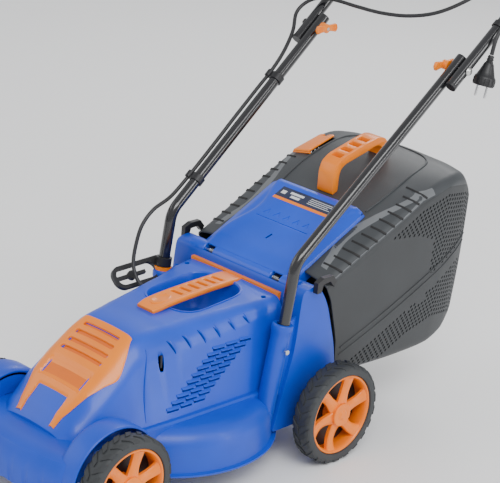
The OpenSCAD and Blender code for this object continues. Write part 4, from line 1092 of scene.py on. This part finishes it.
def makeFlap():
    rows, cols = 78, 86
    grid = []
    for i in range(rows):
        u = 3 + (flap["long"] - 3) * i / (rows - 1)
        for j in range(cols):
            s = -1 + 2 * j / (cols - 1)
            x = s * (flap["half"] - 5 * blendIn(flap["long"] - 14, flap["long"], u) ** 2)
            grid.append(flapPoint(x, u, flapHeight(x, u)))
    plate = newObject("flapPlate", grid, ringFaces(rows, cols, False))
    faceUp(plate)
    thicken(plate, 2.6)
    groove = []
    half, u = flap["grooveHalf"], flap["grooveAt"]
    outline = [(-half, u - 0.7), (half, u - 0.7), (half, u + 0.7), (-half, u + 0.7)]
    groove.append(engraving("groove", outline, 1.1))
    slot = roundCorners([(-3, 57, 0), (1, 57, 0), (4, 70, 0), (0, 70, 0)], [1.6] * 4, 3, closed=True)
    groove.append(loft("slot", [[flapPoint(v.x, v.y, n) for v in slot] for n in (5, 25)]))
    # plain chevrons pressed into the panel
    for k in range(5):
        x = -44 + 22 * k
        outline = [(x - 7, 106), (x, 118), (x + 7, 106), (x + 5, 104.6), (x, 114), (x - 5, 104.6)]
        groove.append(engraving("chevron", outline, 0.7))
    cutAway(plate, groove)
    soften(plate, 0.6, 2, 50)
    dress(plate, "flap", "flapBlue", ["rear_flap"])
    skirts = []
    for side in (1, -1):
        rings = []
        for k in range(28):
            u = 6 + (flap["long"] - 8) * k / 27
            low = flap["top"] - 31 + 10 * blendIn(60, flap["long"], u) + 5 * (1 - blendIn(4, 30, u))
            top = flapHeight(flap["half"], u) + 0.2
            rings.append([flapPoint(side * x, u, n) for x, n in
                          ((flap["half"] - 2.6, top - 2.2), (flap["half"] - 0.6, top),
                           (flap["half"] + 0.8, top - 1.8),
                           (flap["half"] + 2.0, low + 1), (flap["half"] + 1.2, low),
                           (flap["half"] - 0.8, low))])
        skirts.append(loft("skirt", rings))
    lip = []
    for k in range(41):
        x = (flap["half"] - 6) * (-1 + k / 20)
        n = flapHeight(x, flap["long"])
        edge = ((-3, -1), (0.2, -0.4), (1.4, -2), (1.4, -6.6), (-0.8, -6.6), (-1.4, -3.4))
        lip.append([flapPoint(x, flap["long"] + a, n + b) for a, b in edge])
    skirts.append(loft("lip", lip))
    dress(merge("flapSkirts", skirts), "flap", "flapBlue", angle=40)
    barrels = []
    for x0, x1 in ((-flap["ear"], -86), (-66, 66), (86, flap["ear"])):
        rows = [(4.3, x0), (11.6, x0), (12.9, x0 + 1.4), (12.9, x1 - 1.4), (11.6, x1), (4.3, x1), (4.3, x0)]
        barrels.append(lathe("barrel", rows, (0, flap["hinge"][0], flap["hinge"][1]), "X", 48))
    dress(merge("flapBarrel", barrels), "flap", "flapBlue", angle=35)

    sticker("flapLabel", -64, 64, 150, 174, 0.35, "labelNavy")
    sticker("labelStripe", -64, 64, 143.5, 149.6, 0.35, "trimOrange")
    for k, (x0, x1, u0, u1) in enumerate(flap["labelBlocks"]):
        sticker("labelBlock%d" % k, x0, x1, u0, u1, 0.55, "labelWhite")
    print("flap is made")


# ---- grass box

box = {
    # y, top, seam, low, half width
    "rings": [(180, 298, 282, 116, 148), (262, 334, 310, 112, 151), (345, 374, 348, 109, 154),
              (430, 411, 388, 107, 154),
              (505, 431, 412, 108, 151), (550, 428, 408, 118, 143), (582, 400, 376, 140, 132),
              (600, 350, 326, 176, 118)],
    "mouth": [(268, 0), (258, 100), (256, 142), (248, 186), (222, 264), (204, 296), (204, 500)],
    "seamLine": [(100, 237), (430, 392), (500, 408), (560, 398), (700, 330)],
    "seamAt": (0, 100, 430, 465, 500, 530, 560, 700),
    "wall": 2.4,
}


def boxKeys(y):
    first = atLevel([r[:4] for r in box["rings"]], y)
    return first.x, first.y, first.z, atLevel([(r[0], r[4], 0, 0) for r in box["rings"]], y).x


def boxOutline(y, steps=6):
    top, seam, low, half = boxKeys(y)
    w = half
    side = [(w - 34, low), (w - 12, low + 10), (w - 3, (low + seam) / 2), (w, seam),
            (w - 8, seam + 0.55 * (top - seam)), (w - 42, top - 2)]
    corners = [(0, low)] + side + [(0, top + 3)] + [(-x, z) for x, z in side[::-1]]
    radii = [16, 16, 60, 5, 16, 30]
    return roundedOutline(corners, [0] + radii + [40] + radii[::-1], steps)


def mouthY(z):
    line = box["mouth"]
    for (ya, za), (yb, zb) in zip(line, line[1:]):
        if z <= zb:
            return ya + (yb - ya) * (z - za) / (zb - za)
    return line[-1][0]


def seamZ(y):
    line = box["seamLine"]
    for (ya, za), (yb, zb) in zip(line, line[1:]):
        if y <= yb:
            return za + (zb - za) * (y - ya) / (yb - ya)
    return line[-1][1]


def boxShell():
    rings = []
    for k in range(64):
        y = 184 + 412 * k / 63
        rings.append([point(x, y, z) for x, z in boxOutline(y)])
    centre = Vector((0, 0, 0))
    for p in rings[-1]:
        centre += p / len(rings[-1])
    for shrink, reach in ((0.93, 3.4), (0.80, 5.6), (0.5, 7), (0.02, 7.5)):
        rings.append([centre + (p - centre) * shrink + Vector((0, reach / 1000, 0)) for p in rings[63]])
    return loft("boxShell", rings, ends=False)


def cutBy(obj, outline, reach):  # keep what lies outside a side outline
    cutAway(obj, [slab("keep", outline, -reach, reach, "X")])


def holeRows():
    cells = []
    for row in range(30):  # side panels: rows follow the seam, holes are short slanted slots
        for k in range(46):
            y = 216 + k * 8.6 + (row % 2) * 4.3
            down = 16 + row * 7.6
            z = seamZ(y) - down
            low = boxKeys(min(y, 592))[2] + 14
            if z < low or y > 586 or y < mouthY(z) + 16:
                continue
            band = abs((z - 128) - (y - 216) * 0.42) < 17
            upper = down < 84 and y > 330 + down * 1.7
            lower = z < 168 + (y - 216) * 0.16 and not band
            back = y > 470 and not band
            if upper or lower or back:
                cells.append((y, z))
    return cells


def makeBox():
    far = 720
    lid = boxShell()
    thicken(lid, box["wall"])
    basket = boxShell()
    thicken(basket, box["wall"])
    line = [(y, seamZ(y)) for y in box["seamAt"]]
    under = [(-20, -60)] + line + [(700, -60)]
    over = [(-20, 700), (-20, seamZ(0) - 0.3)] + [(y, z - 0.3) for y, z in line] + [(700, 700)]
    front = [(-60, -60)] + [(y, z) for y, z in box["mouth"]] + [(-60, 500)]
    cutBy(lid, under, far)
    cutBy(lid, front, far)
    cutBy(basket, over, far)
    cutBy(basket, front, far)
    holes = []
    holes.append(slab("mouthHole", roundedBox(-99, 150, 99, 330, 12, 5), 280, 600, "Z"))
    levelHole = [(-140, 432), (-104, 424), (-100, 484), (-136, 492)]
    holes.append(slab("levelHole", levelHole, 380, 600, "Z"))
    cutAway(lid, holes)
    soften(lid, 1.0, 2, 50)
    dress(lid, "grass_box", "lidGrey", ["box_lid"], angle=24)
    slots = []
    for y, z in holeRows():
        outline = [(y - 3.0, z - 2.4), (y + 1.2, z - 2.4), (y + 3.0, z + 2.4), (y - 1.2, z + 2.4)]
        slots.append(slab("hole", roundedOutline(outline, [1.0] * 4, 1), -180, 180, "X"))
    cutAway(basket, slots)
    dress(basket, "grass_box", "basketGrey", ["box_basket"], angle=24)
    print("grass box shells and", len(slots), "rows of holes are made")


def boxSide(z, y):  # half width of the box at a height
    outline = [p for p in boxOutline(y) if p[0] >= 0]
    best = max((p[0] for p in outline), default=0)
    for a, b in zip(outline, outline[1:]):
        lo, hi = sorted((a[1], b[1]))
        if lo <= z <= hi and hi - lo > 1e-6:
            best = a[0] + (b[0] - a[0]) * (z - a[1]) / (b[1] - a[1])
    return best


def boxTop(x, y):
    return onOutline([p for p in boxOutline(y)[::-1] if p[1] > boxKeys(y)[1]], abs(x), 0)


def makeBoxTrim():
    # light strip along the seam of the lid, with slanted slots drawn as black marks of painted shade
    for side, name in ((1, "boxStripLeft"), (-1, "boxStripRight")):
        rings = []
        for k in range(50):
            t = k / 49
            y = 226 + 232 * t
            z = seamZ(y)
            tall = 17 * (0.55 + 0.45 * math.sin(math.pi * min(1, 0.15 + t))) + 3
            ring = []
            for n, grow in ((2, -1.5), (3, 1.2), (tall - 2, 1.6), (tall, 0.8), (tall, -2)):
                ring.append(point(side * (boxSide(z + n, y) + grow), y, z + n))
            rings.append(ring)
        dress(loft(name, rings), "grass_box", "seamGrey")
        slots = []
        # the slots are not cut: black marks stand on the strip as painted shade for the dark inside of each
        # slot
        for k in range(11):
            y = 238 + 19.6 * k
            path = []
            for i in range(6):
                t = i / 5
                yy = y + 5 - 10 * t
                z = seamZ(yy) + 4 + 12.5 * t
                path.append((side * (boxSide(z, yy) + 1.75), yy, z))
            slots.append(sweep("slotShadeMark", path, roundedSection(1.9, 0.7, 0.5, 2), up=(1, 0, 0)))
        dress(merge(name + "Slots", slots), "grass_box", "slotShadeBlack")
        # ribs that run along the basket's solid band
        ribs = []
        for drop, size in ((0, 1.5), (13, 1.2)):
            path = []
            for i in range(24):
                y = 262 + 318 * i / 23
                z = 150 + (y - 216) * 0.42 - drop
                path.append((side * (boxSide(z, min(y, 592)) + 0.2), y, z))
            ribs.append(sweep("rib", path, circleSection(size, 8), up=(1, 0, 0)))
        dress(merge(name + "Ribs", ribs), "grass_box", "basketGrey", angle=60)
    # raised outline on the lid's crown
    path = []
    for x, y in ((-96, 350), (-100, 400), (-98, 450), (-92, 500), (-70, 524), (-30, 532), (30, 532),
                 (70, 524), (92, 500), (98, 450), (100, 400), (96, 350)):
        path.append((x, y, boxTop(x, y) + 0.2))
    bead = sweep("lidBead", smoothPath(path, 5), circleSection(1.9, 10), up=(0, 0, 1))
    dress(bead, "grass_box", "lidGrey", angle=60)
    print("grass box trim is made")


def ribbon(name, outline, half, slots, body, replaced, slotHalf, slotLong):
    # a strap handle: side outline pushed across, slots cut down through its crown
    strap = slab(name, roundedOutline(outline, [5] * len(outline), 3), -half, half, "X")
    cutters = []
    for y, z0, z1 in slots:
        hole = roundedBox(-slotHalf, y - slotLong / 2, slotHalf, y + slotLong / 2, 3, 3)
        cutters.append(slab("slot", hole, z0, z1, "Z"))
    cutAway(strap, cutters)
    soften(strap, 1.3, 3, 40)
    dress(strap, body, "trimOrange", replaced)


def makeBoxHandle():
    outline = [(352, 379), (352, 416), (358, 432), (374, 442), (430, 457), (462, 464), (478, 461),
               (488, 450), (491, 425),
               (479, 423), (476, 440), (467, 449), (455, 450), (432, 443), (380, 430), (369, 422),
               (366, 410), (366, 384)]
    slots = [(378 + 21 * k, 425, 480) for k in range(4)]
    ribbon("boxHandle", outline, 17, slots, "grass_box", ["box_handle"], 11, 12)


makeFlap()
makeBox()
makeBoxTrim()
makeBoxHandle()

# ---- level flap, knobs, plug and cables

small = {
    "level": (-122, 424, 405.5), "levelTip": 15, "levelTurn": -13,
    "bolt": (468.177, 619.786),
    "plugEnd": (190, 513, 644), "plugLean": 15, "plugLong": 52, "pinPitch": 19, "pinR": 2.4, "pinLong": 19,
    "cableR": 3.3, "tailR": 3.5,
    # the motor cable, from the hood outlet to the switch box
    "cableRoute": [
        (-97, 62, 231), (-120, 58, 236), (-134, 56, 248), (-147, 60, 268), (-154, 70, 296), (-157, 84, 326),
        (-157, 108, 349), (-157, 146, 365), (-157, 190, 399), (-158, 240, 441), (-160, 290, 483),
        (-162, 340, 524),
        (-163, 372, 550), (-168, 404, 578), (-180, 436, 608), (-197, 460, 634), (-192, 478, 652),
        (-172, 490, 663),
        (-142, 500, 664), (-100, 508, 661), (-50, 516, 660), (0, 528, 665), (45, 546, 679), (82, 574, 705),
        (110, 612, 739), (132, 660, 780), (147, 712, 824), (155, 758, 861), (158, 790, 885)],
    # the mains tail, from the switch box down the left leg to the plug
    "tailRoute": [
        (200, 790, 885), (199, 770, 869), (198, 742, 845), (197, 720, 826), (195, 680, 792),
        (193, 634, 756),
        (192, 590, 722), (190, 548, 702), (190, 522, 674), (190, 513, 644)],
}


def makeLevelFlap():
    tip, turn = math.radians(small["levelTip"]), math.radians(small["levelTurn"])
    place = Matrix.Rotation(tip, 3, "X") @ Matrix.Rotation(turn, 3, "Y")
    outline = [(-20, -1), (20, -1), (17.5, 70), (6, 69), (6, 62.5), (-6, 62.5), (-6, 69), (-17.5, 70)]
    outline = roundCorners([(*p, 0) for p in outline], [2, 2, 5, 2, 1.5, 1.5, 2, 5], 4, closed=True)
    rings = []
    for grow, h in ((-1.0, 1.4), (0, 1.9), (0, 3.6), (-0.8, 4.3), (-3.4, 4.9)):
        ring = []
        for v in outline:
            c = Vector((0, 33, 0))
            p = c + (v - c) * (1 + grow / 30)
            ring.append(point(*(Vector(small["level"]) + place @ Vector((p.x, p.y, h)))))
        rings.append(ring)
    plate = loft("levelPlate", rings)
    dress(plate, "level_indicator", "trimOrange", ["level_flap"])
    ends = [Vector(small["level"]) + place @ Vector((x, 0, 0)) for x in (-21, 21)]
    pin = sweep("levelPin", ends, circleSection(1.9, 20), up=(0, 0, 1))
    dress(pin, "level_indicator", "trimOrange")


def makeKnob(side, name, body):
    low, high = nodeBox(name)
    outer, inner = (high.x, low.x) if side > 0 else (low.x, high.x)
    y0, z0 = small["bolt"]
    deep = inner - outer

    def at(t):
        return outer + deep * t

    rows = [(3.3, at(0)), (8.6, at(0)), (9.0, at(0.05)), (8.2, at(0.42)), (8.0, at(0.9)), (7.0, at(0.97)),
            (3.3, at(0.98)), (3.3, at(0))]
    parts = [lathe("hub", rows, (0, y0, z0), "X", 40)]
    rings = []
    for k in range(29):
        e = -1 + 2 * k / 28
        tall = (5.4 + 3.0 * e * e) * math.sqrt(max(0.03, 1 - max(0, (abs(e) - 0.82) / 0.19) ** 2))
        thick = 3.7 - 1.0 * abs(e)
        centre = at(0.80)
        ring = [point(centre + a, y0 + 25.5 * e, z0 + 0.6 - 1.4 * e * e + b)
                for a, b in roundedSection(thick, tall, min(thick, tall) * 0.9, 4)]
        rings.append(ring)
    parts.append(loft("wings", rings))
    knob = merge(name + "Body", parts)
    fixNormals(knob)
    dress(knob, body, "trimOrange", [name], angle=42)
    ridges = []
    ridgeX = at(0.80) + math.copysign(3.2, deep)
    for way in (1, -1):
        for k in range(3):
            u = way * (14 + 4 * k)
            line = [(ridgeX, y0 + u, z0 - 4.5), (ridgeX, y0 + u, z0 + 5)]
            ridges.append(sweep("ridge", line, circleSection(0.8, 8), up=(0, 1, 0)))
    dress(merge(name + "Ridges", ridges), body, "trimOrange", angle=60)


def makePlug():
    lean = math.radians(small["plugLean"])
    way = Vector((0, math.sin(lean), math.cos(lean)))
    face = Vector(small["plugEnd"]) - way * small["plugLong"]
    rows = [(0, 15.8), (0.5, 17.2), (1.6, 18), (13.4, 18), (15.4, 17.3), (17, 15.6), (23, 13.2),
            (30, 10.6), (36, 8.6),
            (38.4, 7.4), (39, 6.2), (41, 6.2), (41.6, 5.2), (43, 5.2), (43.6, 5.9), (45.4, 5.8),
            (46, 4.9), (47.2, 4.9), (47.8, 5.4), (49.6, 5.2), (51.2, 4.0)]
    body = turned("plugShell", face, way, rows, count=56)
    dress(body, "push_handle", "fittingBlack", ["plug_body"], angle=34)
    grips = []
    for k in range(14):
        a = 2 * math.pi * k / 14
        across = Vector((math.cos(a), 0, 0)) + way.cross(Vector((1, 0, 0))).normalized() * math.sin(a)
        grips.append(sweep("grip", [face + way * 3 + across * 17.7, face + way * 12.5 + across * 17.7],
                           circleSection(1.1, 8), up=(0.2, 0.3, 0.9)))
    ribs = merge("plugGrips", grips)
    dress(ribs, "push_handle", "fittingBlack", angle=60)
    pins = []
    r, deep = small["pinR"], small["pinLong"]
    for s in (1, -1):
        start = face + Vector((s * small["pinPitch"] / 2, 0, 0))
        rows = [(0.2, r), (-deep + 2.4, r), (-deep + 1.0, r * 0.82), (-deep + 0.2, r * 0.45), (-deep, 0.2)]
        pins.append(turned("pin", start, way, rows, count=28))
    prongs = merge("plugProngs", pins)
    dress(prongs, "push_handle", "groundSteel", ["plug_pins"], angle=35)
    return body, ribs, prongs


def makeCables(onTail):
    line = smoothPath(small["cableRoute"], 6)
    cable = sweep("motorCable", line, circleSection(small["cableR"], 14))
    dress(cable, "chassis", "cableBlack", ["motor_cable"], angle=60)
    line = smoothPath(small["tailRoute"], 6)
    tail = sweep("mainsTail", line, circleSection(small["tailR"], 14))
    dress(tail, "push_handle", "cableBlack", ["tail_cord"], angle=60)


makeLevelFlap()
makeKnob(1, "wing_knob_left", "left_knob")
makeKnob(-1, "wing_knob_right", "right_knob")
makeCables(makePlug())

# ---- finishes of the pieces that stay as the CAD made them

plainNodes = {
    "trimOrange": ["rear_trim", "hook_bracket"],
    "tubeBlack": ["lower_tube_left", "lower_tube_right", "upper_handle"],
    "fittingBlack": ["cord_hook", "cable_clips", "tube_caps", "switch_box", "bail_bracket", "tail_clips",
                     "box_hooks",
                     "hood_screws"],
    "zincSteel": ["hinge_rod", "tube_screws", "handle_bolts", "front_axle", "rear_axle", "blade_bolt",
                  "flap_springs", "bail_lever"],
    "groundSteel": ["bearings", "spindle"],
    "bladeSteel": ["blade"],
    "castGrey": ["bearing_plate"],
    "motorBlack": ["motor_can", "driven_pulley", "drive_pulley", "blade_adaptor"],
    "copperWire": ["motor_stator"],
    "rotorSteel": ["motor_rotor", "armature"],
    "beltRubber": ["drive_belt"],
    "buttonRed": ["start_button"],
}


def paintNodes():
    painted = 0
    for finish, names in plainNodes.items():
        for name in names:
            if name in nodes:
                mesh = nodes[name].data
                mesh.materials.clear()
                mesh.materials.append(materials[finish])
                painted += 1
    print(painted, "CAD pieces have their finish")


paintNodes()
